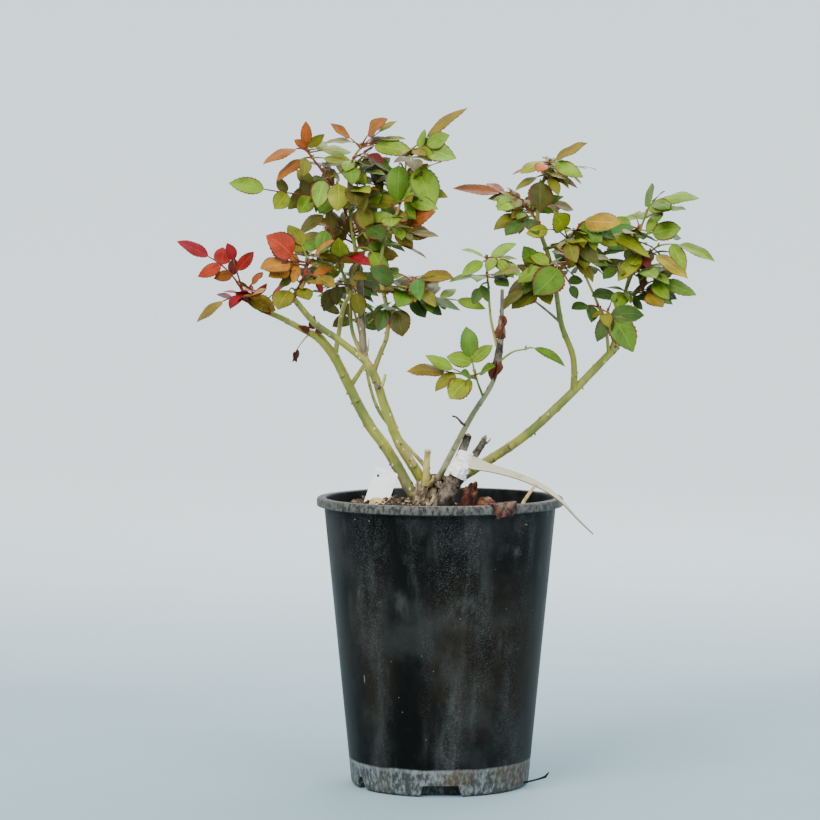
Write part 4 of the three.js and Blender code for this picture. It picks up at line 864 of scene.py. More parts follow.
masses = {  # a row: share of the stem, run right, back, up, nod, face, size, leaflets, tints
    "red_spray": {"foot": 4, "tip": 2, "seed": 11, "more": 3, "tints": "dne",
        "stem": [[-146, 20, 384.6], [-154, 18, 389], [-160, 15, 398]], "leaves": [
        [1, -28, -7, 30, 20, 55, 27, "LKOSS", "csrud"],
        [1, -8, -5, 27, -4, 50, 26, "S.K", "c.r"],
        [0.4, -23, -8, 3, 34, 34, 27, "L.S", "n.d"],
        [0.75, 3, -10, 3, 6, 46, 30, "B.S", "t.n"],
        [0.3, 15, -8, 9, -20, 40, 21, "N", "c"],
        [0.95, 7, -8, 8, -6, 45, 15, "M.S", "u.u"],
        [0.9, 8, 4, 12, 8, 40, 12, "M", "d"]]},
    "salmon_spray": {"foot": 4, "tip": 2, "seed": 23, "more": 3, "tints": "nea",
        "stem": [[-117.4, -34, 394.6], [-110, -38, 408], [-105, -36, 424]], "leaves": [
        [0.98, -12, -10, 5, -24, 76, 26, "W", "s"],
        [0.98, -14, -9, 1, 0, 50, 22, "N", "c"],
        [0.88, -13, -11, 1, 6, 60, 27, "B", "t"],
        [0.88, 5, -9, 6, -4, 40, 27, "L", "t"],
        [1, -5, 6, 13, 10, 25, 23, "BMM", "eeg"],
        [0.15, -5, -12, 2, 45, 80, 21, "W", "e"],
        [0.3, 3, -12, 0, 24, 74, 21, "B", "e"],
        [0.8, 8, -3, -11, 10, 40, 13, "MS.", "rr."],
        [0.65, 10, -9, -2, 12, 55, 20, "BM.", "na."]]},
    "amber_spray": {"foot": 2.6, "tip": 1.6, "seed": 31, "more": 4, "tints": "eyn",
        "stem": [[-72, 0.2, 400.4], [-80, -9, 418], [-84, -12, 434]], "leaves": [
        [0.6, 0, -12, 6, -10, 72, 24, "BMB", "ynt"],
        [0.1, -12, -6, -2, 55, 60, 20, "BM.", "EE."],
        [0.06, 5, -12, -4, 55, 60, 20, "B", "e"],
        [1, -8, -14, 16, 64, 76, 20, "B", "g"],
        [0.8, 10, -14, 2, 16, 60, 31, "N", "c"]]},
    "top_left_spray": {"foot": 3, "tip": 1.6, "seed": 47, "more": 4, "tints": "egEyn",
        "stem": [[-67.6, 29, 402.5], [-70, 22, 438], [-81, 9, 474], [-95, 1, 496], [-111, -2, 517]],
        "leaves": [
        [1, 0, -2, 4, -8, 58, 20, "LSK", "ooe"],
        [0.94, 11, 4, 2, 6, 40, 25, "LK.", "pl."],
        [0.96, -8, -5, 1, 22, 34, 31, "L", "a"],
        [0.9, -8, -4, -1, 24, 34, 28, "LK.", "ae."],
        [0.97, 8, -5, 1, 2, 22, 30, "N", "a"],
        [0.9, 9, -4, 0, 8, 30, 26, "L", "y"],
        [0.6, -60, -10, 6, -4, 80, 28, "LOSOSO.", "lyElEg."],
        [0.55, -15, -10, -9, 6, 50, 25, "LK.", "EE."],
        [0.64, 2, -20, 6, 62, 80, 22, "W", "y"],
        [0.66, -8, -16, 6, 58, 70, 26, "B", "p"],
        [0.28, -20, -6, 6, 14, 35, 26, "LK.", "eg."]]},
    "top_centre_spray": {"foot": 3.6, "tip": 1.6, "seed": 53, "more": 5, "tints": "egEDl",
        "stem": [[-65, -5, 413.6], [-71, -4, 450], [-74, -2, 485], [-70, 0, 506], [-61, 0, 519]], "leaves": [
        [1, 5, -4, 9, 10, 42, 21, "W", "a"],
        [1, -7, -3, 4, 24, 34, 21, "L", "e"],
        [0.98, 16, -2, 6, 12, 25, 19, "L", "e"],
        [0.95, 11, -4, 2, 14, 40, 32, "LS.", "lE."],
        [0.9, -6, -15, 6, 44, 55, 28, "B", "e"],
        [0.85, 12, -8, 4, 30, 50, 21, "MS.", "dd."],
        [0.8, 1, -17, 0, 30, 55, 24, "BM.", "gE."],
        [0.74, 12, -8, 2, 10, 40, 24, "KMK", "ggl"],
        [0.62, 6, -14, 1, 4, 25, 25, "BK.", "yt."],
        [0.62, 8, -19, 2, 60, 78, 22, "B", "e"],
        [0.52, 10, -14, -2, 62, 80, 22, "B", "e"],
        [0.32, 13, -20, 2, 16, 46, 25, "BM.", "DD."],
        [0.18, 14, -12, -2, 36, 62, 24, "BS.", "lg."]]},
    "top_right_spray": {"foot": 2.8, "tip": 1.6, "seed": 61, "more": 4, "tints": "gelEn",
        "stem": [[-49, -33, 414.4], [-44, -29, 443], [-34, -22, 464], [-29, -16, 486], [-27, -9, 515]],
        "leaves": [
        [1, 16, -4, 12, -6, 42, 42, "N.K", "n.p"],
        [0.8, -5, -10, 6, 78, 84, 28, "B", "g"],
        [0.76, 10, -10, 8, 56, 80, 36, "B", "l"],
        [0.6, 12, -4, 18, 0, 50, 17, "MMM", "tnp"],
        [0.45, 9, -8, -4, -34, 55, 28, "B", "u"],
        [0.4, 0, -13, 4, 26, 60, 28, "BM.", "lb."],
        [0.3, 20, -2, 1, 2, 22, 25, "KKS", "nwe"],
        [0.2, 14, -4, 1, 22, 20, 24, "NS.", "ww."]]},
    "low_green_spray": {"foot": 2.6, "tip": 1.6, "seed": 71, "more": 3, "tints": "gDleE",
        "stem": [[-42, -30, 380], [-36, -34, 388], [-27, -36, 400], [-19, -36, 410]], "leaves": [
        [1, 4, -3, 1, 8, 40, 28, "L.L", "n.b"],
        [0.75, -12, -9, 4, -16, 66, 24, "B", "D"],
        [0.7, -2, -9, 0, 20, 70, 26, "B", "g"],
        [0.5, 20, -6, 0, 8, 40, 28, "LK.", "DE."],
        [0.5, 44, -6, -2, 6, 40, 24, "LKSKM", "llglg"],
        [0.2, -7, -9, -2, 50, 70, 22, "MS.", "DD."],
        [0.28, 2, -10, -3, 50, 80, 22, "W", "E"],
        [0.9, -12, 10, 7, 10, 40, 20, "MS.", "Dg."]]},
    "rear_left_spray": {"foot": 2.6, "tip": 1.6, "seed": 83, "more": 8, "tints": "gDleE",
        "stem": [[-62, 50.2, 348.5], [-70, 62, 380], [-80, 72, 412], [-84, 76, 446]], "leaves": []},
    "right_top_spray": {"foot": 2.8, "tip": 1.5, "seed": 97, "more": 3, "tints": "eng",
        "stem": [[82, -1, 484.4], [86, -2, 497], [89, -2, 504]], "leaves": [
        [1, 4, -2, 2, -6, 40, 28, "L", "n"],
        [0.98, 4, -3, 0, 22, 50, 28, "L", "l"],
        [0.95, -5, -4, 0, 14, 45, 24, "L", "y"],
        [0.9, -4, -8, -1, 10, 50, 13, "W", "o"],
        [0.62, -8, -4, 1, 6, 20, 23, "N", "a"],
        [0.45, -7, -4, -2, 6, 26, 24, "N", "e"],
        [0.5, 3, -3, 0, 12, 25, 19, "N", "e"],
        [0.35, 3, -4, -1, 30, 35, 19, "L", "e"]]},
    "rust_spray": {"foot": 2.6, "tip": 1.5, "seed": 101, "more": 3, "tints": "egn",
        "stem": [[79, 1, 456], [71, 6, 466], [65, 8, 474], [57, 9, 480]], "leaves": [
        [1, -11, -3, 0, -12, 35, 38, "N.S", "u.u"],
        [0.45, 3, 8, -4, -40, 80, 30, "W", "E"],
        [0.8, -4, -8, -2, 10, 66, 24, "B", "l"],
        [0.4, -4, -9, -3, 0, 60, 17, "M", "g"],
        [0.2, -8, -11, -5, 4, 42, 25, "BM.", "DD."],
        [0.3, 11, 7, 5, 20, 60, 20, "M", "l"]]},
    "gold_spray": {"foot": 2.6, "tip": 1.5, "seed": 113, "more": 5, "tints": "egyE",
        "stem": [[86, 3, 434], [97, -6, 437], [107, -8, 445], [112, -8, 452]], "leaves": [
        [1, 5, -4, 5, 28, 60, 32, "B.M", "G.g"],
        [0.9, 12, -6, 0, 10, 50, 20, "BM.", "bg."],
        [0.6, -3, -10, 8, 10, 70, 22, "W", "y"],
        [0.5, 3, -12, 0, 46, 78, 21, "B", "e"],
        [0.3, 27, -6, -8, -4, 30, 22, "MMM.M", "eEe.e"],
        [0.2, 16, -8, -10, 6, 34, 24, "BM.", "ee."],
        [0.15, 10, -10, -3, 20, 60, 19, "MM.", "dd."]]},
    "core_spray": {"foot": 2.6, "tip": 1.5, "seed": 127, "more": 3, "tints": "gDleE",
        "stem": [[91, 6, 410], [98, -4, 417], [103, -10, 424]], "leaves": [
        [1, -7, -5, -6, 4, 82, 30, "W", "g"],
        [0.2, -13, -6, 6, -34, 70, 22, "BB.", "gp."],
        [0.9, 3, -12, 0, 70, 76, 22, "B", "g"],
        [0.3, -17, -10, -12, 4, 30, 28, "BM.", "ee."],
        [0.3, -27, -12, -13, 4, 34, 26, "L", "e"],
        [0.5, 8, -5, -12, 20, 60, 15, "MM.", "DD."]]},
    "low_right_spray": {"foot": 2.2, "tip": 1.5, "seed": 139, "more": 1, "tints": "gDleE",
        "stem": [[131, 22, 384], [129, 10, 386], [136, -1, 382]], "leaves": [
        [1, 3, -3, -3, 26, 70, 32, "BMM", "gDD"],
        [0.95, 3, -2, 8, 0, 55, 18, "S", "g"],
        [0.45, -9, -8, 2, 12, 55, 21, "MM.", "DD."],
        [0.6, 2, -10, -4, 10, 60, 21, "M.S", "e.e"]]},
    "rear_right_spray": {"foot": 2, "tip": 1.5, "seed": 149, "more": 6, "tints": "gDleE",
        "stem": [[117.8, 10.2, 412.4], [116, 28, 424], [118, 46, 436]], "leaves": []},
    "far_top_spray": {"foot": 2.8, "tip": 1.6, "seed": 151, "more": 3, "tints": "glb",
        "stem": [[157, 34, 416.5], [161, 30, 438], [165, 26, 453], [168, 23, 461]], "leaves": [
        [0.98, 11, -5, 14, 34, 24, 33, "LSKKK", "lwggl"],
        [0.7, -7, 4, 4, 16, 30, 25, "LK.", "bb."],
        [0.55, -4, -12, 5, 14, 40, 32, "LL.", "nl."]]},
    "far_right_spray": {"foot": 2.4, "tip": 1.5, "seed": 163, "more": 2, "tints": "lgp",
        "stem": [[154, 35, 403], [160, 24, 418], [170, 16, 430], [178, 10, 437]], "leaves": [
        [1, 17, -4, 1, 14, 44, 31, "L.K", "l.l"],
        [0.78, 5, -4, -2, 14, 50, 31, "L", "Y"],
        [0.8, -9, -8, -2, 26, 55, 30, "LS.", "yd."],
        [0.4, -5, -12, 4, 24, 55, 24, "LS.", "ee."],
        [0.55, -4, -7, 6, -10, 60, 19, "M", "g"],
        [0.5, 2, -8, -5, 70, 40, 19, "N", "w"],
        [0.3, -20, -2, 6, 6, 50, 20, "MM.", "pp."]]},
    "low_far_spray": {"foot": 2.2, "tip": 1.5, "seed": 173, "more": 2, "tints": "gDleE",
        "stem": [[150, 36, 388], [158, 26, 397], [166, 20, 402]], "leaves": [
        [1, 13, -6, 6, 30, 45, 30, "LMK", "ggl"],
        [0.8, 7, -12, -2, 14, 55, 23, "BM.", "nw."],
        [0.3, -9, -10, 3, 6, 50, 26, "BS.", "DD."]]},
    "pale_spray": {"foot": 1.8, "tip": 1.3, "seed": 181, "more": 1, "tints": "lpg",
        "stem": [[38, -42, 404.4], [37, -42, 412], [36.5, -42, 427]], "leaves": [
        [1, 3, -1, 1, -14, 50, 24, "L", "p"],
        [1, -2, -1, 1, 4, 30, 20, "N", "p"],
        [0.88, -3, -2, -1, 16, 50, 22, "L", "l"],
        [0.88, 4, -2, -1, 6, 40, 26, "L", "p"],
        [0.4, 4, -6, 0, -14, 45, 31, "L", "e"],
        [0.3, 6, -8, -1, 10, 50, 20, "MM.", "DD."],
        [0.35, -8, -4, 0, 4, 12, 25, "NM.", "gg."],
        [0.1, -7, -8, -4, 40, 70, 18, "MM.", "DD."]]},
    "centre_low_spray": {"foot": 2.2, "tip": 1.5, "seed": 191, "more": 1, "tints": "lge",
        "stem": [[34, -34, 316], [30, -46, 326], [27, -52, 335]], "leaves": [
        [1, -3, -2, 14, 0, 60, 24, "BMK", "gll"],
        [0.9, -24, -4, 4, -2, 45, 31, "LK.", "ne."],
        [0.8, -8, -8, -1, 30, 80, 22, "WS.", "yy."],
        [0.95, 4, -6, 2, -10, 55, 22, "M", "g"],
        [0.85, -18, -6, 7, -6, 55, 24, "L", "l"],
        [0.8, -5, -8, 3, 0, 60, 16, "M", "g"]]},
    "centre_right_leaf": {"foot": 1.8, "tip": 1.3, "seed": 197, "more": 0, "tints": "gDleE",
        "stem": [[48, -42, 345], [58, -45, 352], [68, -46, 354]], "leaves": [
        [1, 7, -2, 1, 24, 45, 29, "N", "g"]]},
}
blades = {"B": (1, 0.64), "W": (1, 0.8), "L": (1.04, 0.46), "M": (0.82, 0.6), "K": (0.86, 0.45),
          "O": (0.62, 0.85), "N": (0.95, 0.36), "S": (0.55, 0.58)}  # shares of length and breadth
leafRule = {"spacing": 0.3, "spread": 58, "splay": 16, "swerve": 0.2, "roll": 0.5, "last": 0.96, "kept": 3.0,
            "scale": (0.94, 0.12), "fold": (0.08, 0.24), "droop": (0.04, 0.16),  # least, and how much more
            "petiole": 0.95, "petioleEnd": 0.55, "stations": 7, "swell": 1.4}
moreRule = {"from": 0.12, "to": 0.95, "back": 58, "front": 34, "every": 4, "rise": (-8, 34), "run": (20, 38),
            "nod": (4, 34), "face": (-46, 14), "size": (21, 28), "patterns": ["LMKMK", "BMM", "LKK"]}
finerRule = {
    "perSpray": {"red_spray": 3, "salmon_spray": 7, "amber_spray": 11, "top_left_spray": 13,
                 "top_centre_spray": 15, "top_right_spray": 10, "low_green_spray": 8, "rear_left_spray": 11,
                 "right_top_spray": 5, "rust_spray": 20, "gold_spray": 26, "core_spray": 28,
                 "low_right_spray": 4, "rear_right_spray": 22, "far_top_spray": 9, "far_right_spray": 12,
                 "low_far_spray": 7, "pale_spray": 5},
    "tints": {"red_spray": "drcn", "salmon_spray": "entae", "amber_spray": "enyea", "top_left_spray": "egEynla",
              "top_centre_spray": "egEnlgy"},
    "placed": {
        "red_spray": [[1, 6, -3, -3, 4, 60, 25, "B", "G"], [0.5, 8, -8, -2, 20, 60, 16, "K", "c"]],
        "right_top_spray": [[0.02, -2, -7, 3, 78, 88, 26, "W", "E"]],
        "gold_spray": [[0.95, 27, 2, -6, 4, 50, 35, "L", "y"], [0.6, -16, -6, 8, 30, 70, 22, "M", "y"]],
        "top_centre_spray": [[0.95, -8, -4, 8, 8, 55, 20, "L", "a"], [0.95, 15, 2, 13, 4, 30, 20, "K", "e"]],
        "core_spray": [[0.9, 12, 2, 12, 6, 40, 27, "L", "e"], [0.4, -10, -8, 6, 40, 75, 20, "B", "g"]]},
    "share": (0.12, 0.97), "run": (9, 25), "rise": (-14, 44), "nod": (4, 40), "face": (18, 70),
    "size": (17, 26), "apart": 4.6, "beyond": 4.0, "tries": 12,
    "patterns": ["LKK", "BMM", "LMKMK", "BK", "LKKS"]}
bladeForm = {"teeth": 9, "tooth": 0.05, "margin": 0.89, "curl": 0.16, "wave": 0.11, "arch": 0.05, "thick": 0.3,
             "full": 1.03, "point": 0.3, "pointFrom": 0.75, "curls": (0.3, 1.3), "waves": (0.2, 1.2),
             "sway": 0.05}
bladeLook = {"roughness": 0.5, "specular": 0.18, "mottle": 85, "spots": 40, "deep": 0.62, "pale": 1.45,
             "veins": 8.0, "slant": 4.5, "veinShare": 0.45}
tints = {  # a letter's colour, its name, and the slot of its piece
    "c": ("#7f0613", "crimson", "red_leaf"), "r": ("#901a0c", "red", "red_leaf"),
    "o": ("#9c4c0e", "red_orange", "red_leaf"), "d": ("#54150a", "dark_red", "red_leaf"),
    "s": ("#ac3618", "salmon", "red_leaf"), "t": ("#9a6410", "orange_tan", "amber_leaf"),
    "a": ("#8c4f0a", "amber", "amber_leaf"), "y": ("#808710", "yellow_green", "pale_leaf"),
    "Y": ("#ab951a", "yellow", "pale_leaf"), "p": ("#7a9832", "pale_green", "pale_leaf"),
    "l": ("#6e8917", "light_green", "green_leaf"), "g": ("#4e6e10", "green", "green_leaf"),
    # dark_green (D) and dark_olive (E) are partly the leaves' own deep greens and partly painted shade, where
    # the rows give them to leaflets in shadow deep in a spray
    "b": ("#3a691f", "blue_green", "green_leaf"), "D": ("#354f12", "dark_green", "green_leaf"),
    "e": ("#67650c", "olive", "green_leaf"), "E": ("#48450b", "dark_olive", "green_leaf"),
    "n": ("#735f10", "tan_olive", "green_leaf"), "u": ("#7c4006", "rust", "amber_leaf"),
    "w": ("#4a280a", "brown", "green_leaf"), "G": ("#987512", "golden_tan", "amber_leaf")}
redTints = "crodstau"
backTints = {"green": ("#6b7722", "pale_leaf"), "red": ("#84520e", "red_leaf")}
edgeTints = {"green": ("#536423", "green_leaf"), "red": ("#632a19", "red_leaf")}
twigLook = {"red": "#7b3923", "green": "#78802e", "bud": "#7c3a2a", "budSize": 2.6, "budUp": 0.8, "wing": 1.3,
            "wingTip": 2, "redStalks": 0.45, "redEdges": 0.72, "rough": 0.8, "sides": 9, "rooted": 2.5,
            "placedThick": 0.8, "freshThick": 0.75,
            "redOn": ("red_spray", "salmon_spray", "top_left_spray", "rust_spray")}


def seeded(seed):  # the same plain run of draws as in the solids
    state = [seed * 7919 + 17]

    def draw():
        state[0] = state[0] * 16807 % 2147483647
        return state[0] / 2147483647
    return draw


def halfWidth(u):  # full near the foot, drawn out to a point
    past = max(0.0, (u - bladeForm["pointFrom"]) / (1 - bladeForm["pointFrom"]))
    point = 1 - bladeForm["point"] * past ** 1.6
    return 0.5 * max(0.0, math.sin(math.pi * u ** 0.86)) ** 0.68 * point


def growLeaf(stem, row, draw):  # the stalk's line and its leaflets, from a row
    share, right, back, up, nod, faceTurn, size, pattern, shades = row
    start = stem["at"](min(share, leafRule["last"]))
    run = Vector((right, back, up))
    length = run.length
    end = start + run
    sag = math.radians(nod)
    tipWay = (run / length * math.cos(sag) + Vector((0, 0, -math.sin(sag)))).normalized()
    bend = end - tipWay * (length / 2)
    facing = Vector((0, -math.sin(math.radians(faceTurn)), math.cos(math.radians(faceTurn))))

    def at(t):
        return start * (1 - t) ** 2 + bend * (2 * t * (1 - t)) + end * t ** 2

    leaflets = []
    for i, letter in enumerate(pattern):
        jitter = [draw() for _ in range(5)]
        if letter == ".":
            continue
        side = 0 if i == 0 else 1 if i % 2 else -1
        place = 1 - leafRule["spacing"] * ((i + 1) // 2)
        way = (bend - start).lerp(end - bend, place).normalized()
        face = squareTo(facing, way)
        yaw = side * math.radians(leafRule["spread"] + leafRule["splay"] * (jitter[0] - 0.5))
        yaw += 0 if side else leafRule["swerve"] * (jitter[0] - 0.5)
        out = way * math.cos(yaw) + face.cross(way) * math.sin(yaw)
        roll = leafRule["roll"] * (jitter[1] - 0.5)
        scale, fold, droop = [leafRule[k][0] + leafRule[k][1] * value for k, value in
                              zip(("scale", "fold", "droop"), jitter[2:])]
        leaflets.append({"base": at(place), "along": out, "tint": shades[i], "fold": fold, "droop": droop,
                         "face": face * math.cos(roll) + face.cross(out) * math.sin(roll),
                         "length": size * blades[letter][0] * scale, "breadth": blades[letter][1]})
    return at, leaflets


def rowOf(share, bearing, rise, run, nod, face, size, pattern, shade):
    return [share, run * math.cos(rise) * math.cos(bearing), run * math.cos(rise) * math.sin(bearing),
            run * math.sin(rise), nod, face, size, pattern, shade * len(pattern)]


def moreRows(mass, draw):
    rows = []
    for i in range(mass["more"]):
        share = moreRule["from"] + (moreRule["to"] - moreRule["from"]) * (i + draw()) / mass["more"]
        front = i % moreRule["every"] == moreRule["every"] - 1
        spread = moreRule["front"] if front else moreRule["back"]
        bearing = math.radians((-90 if front else 90) + spread * (2 * draw() - 1))
        rise, run, nod, face, size = [low + (high - low) * draw() for low, high in
                                      (moreRule[k] for k in ("rise", "run", "nod", "face", "size"))]
        pattern = moreRule["patterns"][int(draw() * len(moreRule["patterns"]))]
        shade = mass["tints"][i % len(mass["tints"])]
        face *= -1 if front else 1
        rows.append(rowOf(share, bearing, math.radians(rise), run, nod, face, size, pattern, shade))
    return rows


def finerRows(shades, count, roll):  # small leaves on short twigs all round the stem
    rows = []
    for _ in range(count):
        share = roll.uniform(*finerRule["share"])
        bearing = roll.uniform(0, fullTurn)
        rise = math.radians(roll.uniform(*finerRule["rise"]))
        run = roll.uniform(*finerRule["run"])
        pattern = roll.choice(finerRule["patterns"])
        nod, face, size = [roll.uniform(*finerRule[k]) for k in ("nod", "face", "size")]
        rows.append(rowOf(share, bearing, rise, run, nod, face, size, pattern, roll.choice(shades)))
    return rows


def bladePiece(pile, backs, margins, leaflet, roll):  # toothed blade, its paler back and its tinted edge
    base, along, face = leaflet["base"], leaflet["along"], leaflet["face"]
    length, fold, droop = leaflet["length"], leaflet["fold"], leaflet["droop"]
    across = face.cross(along)
    teeth, margin = bladeForm["teeth"], bladeForm["margin"]
    curl = bladeForm["curl"] * roll.uniform(*bladeForm["curls"])
    wave = bladeForm["wave"] * roll.uniform(*bladeForm["waves"])
    phase = roll.uniform(0, 6.3)
    sway = roll.uniform(-bladeForm["sway"], bladeForm["sway"])

    def at(u, s, lift=0.0):
        half = halfWidth(u) * leaflet["breadth"] * length * bladeForm["full"]
        ripple = wave * math.sin(9 * u + phase + (1.5 if s > 0 else 0)) * s * s
        rise = (fold * abs(s) - curl * s * s + ripple) * half
        rib = base + along * (u * length) + across * (sway * length * math.sin(math.pi * u))
        drop = droop * u * u + bladeForm["arch"] * u ** 3
        return rib - face * (drop * length) + across * (s * half) + face * (rise + lift)

    def mapped(places):
        return [(u, 0.5 + 0.5 * s) for u, s in places]

    stations = [i / teeth for i in range(teeth + 1)]
    places = [(u, s) for u in stations for s in (0.0, 0.5, margin, -0.5, -margin)]
    faces = []
    for a in range(0, teeth * 5, 5):
        b = a + 5
        faces += [[a, b, b + 1, a + 1], [a + 1, b + 1, b + 2, a + 2], [a + 3, b + 3, b, a],
                  [a + 4, b + 4, b + 3, a + 3]]
    addTo(pile, [at(u, s) for u, s in places], faces, mapped(places))
    places = [(u, s) for u in stations for s in (0.0, margin, -margin)]
    faces = []
    for a in range(0, teeth * 3, 3):
        b = a + 3
        faces += [[a, a + 1, b + 1, b], [a + 2, a, b, b + 2]]
    addTo(backs, [at(u, s, -bladeForm["thick"] * (0.6 if s else 1)) for u, s in places], faces, mapped(places))
    places, faces = [], []
    for sign in (1, -1):
        for i, u in enumerate(stations):
            first = len(places)
            out = 1 + bladeForm["tooth"] * (1.5 if 0 < i < teeth - 1 else 0.4)
            places += [(u, margin * sign), (u, 0.99 * sign), (min(0.995, u + 0.85 / teeth), out * sign)]
            if i < teeth:
                new = [[first, first + 3, first + 4, first + 1], [first + 1, first + 4, first + 2]]
                faces += new if sign > 0 else [face[::-1] for face in new]
    addTo(margins, [at(u, s) for u, s in places], faces, mapped(places))


def bladeSurface(name, code):  # satin upper side, mottled, with a paler rib and side veins
    look = bladeLook
    material, add, shader, place = newMaterial(name, look["roughness"], look["specular"])
    own = partsOf(add, add("UVMap", uv_map="blade").outputs[0])
    offRib = add("Math", {0: plus(add, own[1], -0.5)}, operation="ABSOLUTE").outputs[0]
    rib = reach(add, offRib, 0.045, 0.015)
    slant = plus(add, times(add, own[0], look["veins"]), times(add, offRib, -look["slant"]))
    veins = reach(add, add("Math", {0: times(add, slant, fullTurn)}, operation="SINE").outputs[0], 0.75, 0.98)
    light = tuple(min(1, v * look["pale"] + 0.012) for v in tint(code)[:3]) + (1,)
    colour = blend(add, patchMask(add, place, look["mottle"], 0.36, 0.66, 3), code, darker(code, look["deep"]))
    colour = blend(add, times(add, patchMask(add, place, look["spots"], 0.5, 0.72), 0.6), colour, light)
    colour = blend(add, times(add, plus(add, rib, times(add, veins, look["veinShare"])), 0.55), colour, light)
    grooves = plus(add, times(add, veins, -0.6), times(add, rib, -0.9))
    wire(shader, Base_Color=colour, Normal=bump(add, grooves, 0.5, 0.0005))
    return material


def plainSurface(name, code, roughness, scale=120):  # mottled round its colour
    material, add, shader, place = newMaterial(name, roughness, 0.2)
    mask = patchMask(add, place, scale, 0.38, 0.64, 4)
    wire(shader, Base_Color=blend(add, mask, code, darker(code, 0.6)), Normal=bump(add, mask, 0.3, 0.0004))
    return material


def hullOf(points):  # outward planes of the space that the points span
    form = bmesh.new()
    for p in points:
        form.verts.new(p)
    bmesh.ops.convex_hull(form, input=form.verts)
    middle = sum(points, Vector()) / len(points)
    planes = []
    for face in form.faces:
        normal = face.normal.copy()
        spot = face.verts[0].co.copy()
        planes.append((spot, normal if (middle - spot).dot(normal) < 0 else -normal))
    form.free()
    return planes


leafPiles = {letter: newPile() for letter in tints}
backPiles = {"green": newPile(), "red": newPile()}
edgePiles = {"green": newPile(), "red": newPile()}
redTwigs, greenTwigs, budPile = newPile(), newPile(), newPile()
filled = []  # the middles of the leaflets so far


def addStalk(pile, at, thick=1.0):
    steps, foot, second = leafRule["stations"], at(0), at(0.24)
    slimming = leafRule["petioleEnd"] - leafRule["petiole"]
    radii = [thick * (leafRule["petiole"] + slimming * i / steps) for i in range(steps + 1)]
    radii[0] *= leafRule["swell"]
    tube(pile, [at(i / steps) for i in range(steps + 1)], radii, 6)
    way = (second - foot).normalized()
    flat = Vector((0, -0.5, 1)).cross(way).normalized()
    for sign in (1, -1):  # the two wings at a rose leaf's foot
        outer = foot.lerp(second, 0.7) + flat * (sign * twigLook["wing"] * thick)
        tip = second + flat * (sign * twigLook["wingTip"] * thick) + way
        new = [[0, 1, 2], [1, 3, 2]]
        addTo(pile, [foot, second, outer, tip], new if sign > 0 else [face[::-1] for face in new])


def addBud(pile, place, way, size):
    tube(pile, [place, place + way * size * 0.5, place + way * size], [size * 0.26, size * 0.3, size * 0.06], 6)


def middleOf(leaf, share=0.5):
    return leaf["base"] + leaf["along"] * (leaf["length"] * share)


def openness(leaflets):  # how far the leaflets keep from the others, seen across the bush's face
    spots = [middleOf(leaf) for leaf in leaflets]
    if any((spot - other).length < finerRule["apart"] for spot in spots for other in filled):
        return -1
    near = [min([math.hypot(spot.x - other.x, spot.z - other.z) for other in filled] + [30]) for spot in spots]
    return sum(near) / len(near)


def freshLeaf(stem, shades, hull, roll):  # the twig, of several tried, that reaches the most open place
    best = (0, None, None)
    for row in finerRows(shades, finerRule["tries"], roll):
        at, leaflets = growLeaf(stem, row, roll.random)
        ends = [middleOf(leaf, share) for share in (1, 0.5) for leaf in leaflets]
        if any((p - spot).dot(normal) > finerRule["beyond"] for p in ends for spot, normal in hull):
            continue
        room = openness(leaflets)
        if room > best[0]:
            best = (room, at, leaflets)
    return best[1:]


def addLeaf(at, leaflets, roll, thick):
    stalkRed = any(leaf["tint"] in redTints for leaf in leaflets) or roll.random() < twigLook["redStalks"]
    addStalk(redTwigs if stalkRed else greenTwigs, at, thick)
    lifted = Vector((0, 0, twigLook["budUp"]))
    addBud(budPile, at(0.02) + lifted, (at(0.3) - at(0)).normalized() * 0.4 + lifted, twigLook["budSize"])
    for leaf in leaflets:
        shade = "red" if leaf["tint"] in redTints else "green"
        edge = "red" if shade == "red" or roll.random() < twigLook["redEdges"] else "green"
        bladePiece(leafPiles[leaf["tint"]], backPiles[shade], edgePiles[edge], leaf, roll)
        filled.append(middleOf(leaf))
    return len(leaflets)


leafCount = 0
for massName, mass in masses.items():
    draw = seeded(mass["seed"])
    roll = dice.Random(mass["seed"])
    corners, solid = solidOf(massName)
    hull = hullOf(corners)
    path = [Vector(p) for p in mass["stem"]]
    stem = smoothCurve(path)
    root = path[0] + (path[0] - path[1]).normalized() * twigLook["rooted"]
    bough = {"foot": mass["foot"], "tip": mass["tip"], "path": [root] + path}
    twigs = redTwigs if massName in twigLook["redOn"] else greenTwigs
    limbTube(twigs, bough, mass["seed"], twigLook["rough"], True, twigLook["sides"])
    for row in mass["leaves"] + moreRows(mass, draw):
        at, leaflets = growLeaf(stem, row, draw)
        if solid.find_nearest(at(0.5))[3] > leafRule["kept"]:
            continue
        kept = [leaf for leaf in leaflets if solid.find_nearest(middleOf(leaf))[3] < leafRule["kept"]]
        leafCount += addLeaf(at, kept, roll, 1.0)
    for row in finerRule["placed"].get(massName, []):
        leafCount += addLeaf(*growLeaf(stem, row, roll.random), roll, twigLook["placedThick"])
    for _ in range(finerRule["perSpray"].get(massName, 0)):
        at, leaflets = freshLeaf(stem, finerRule["tints"].get(massName, mass["tints"]), hull, roll)
        if at:
            leafCount += addLeaf(at, leaflets, roll, twigLook["freshThick"])

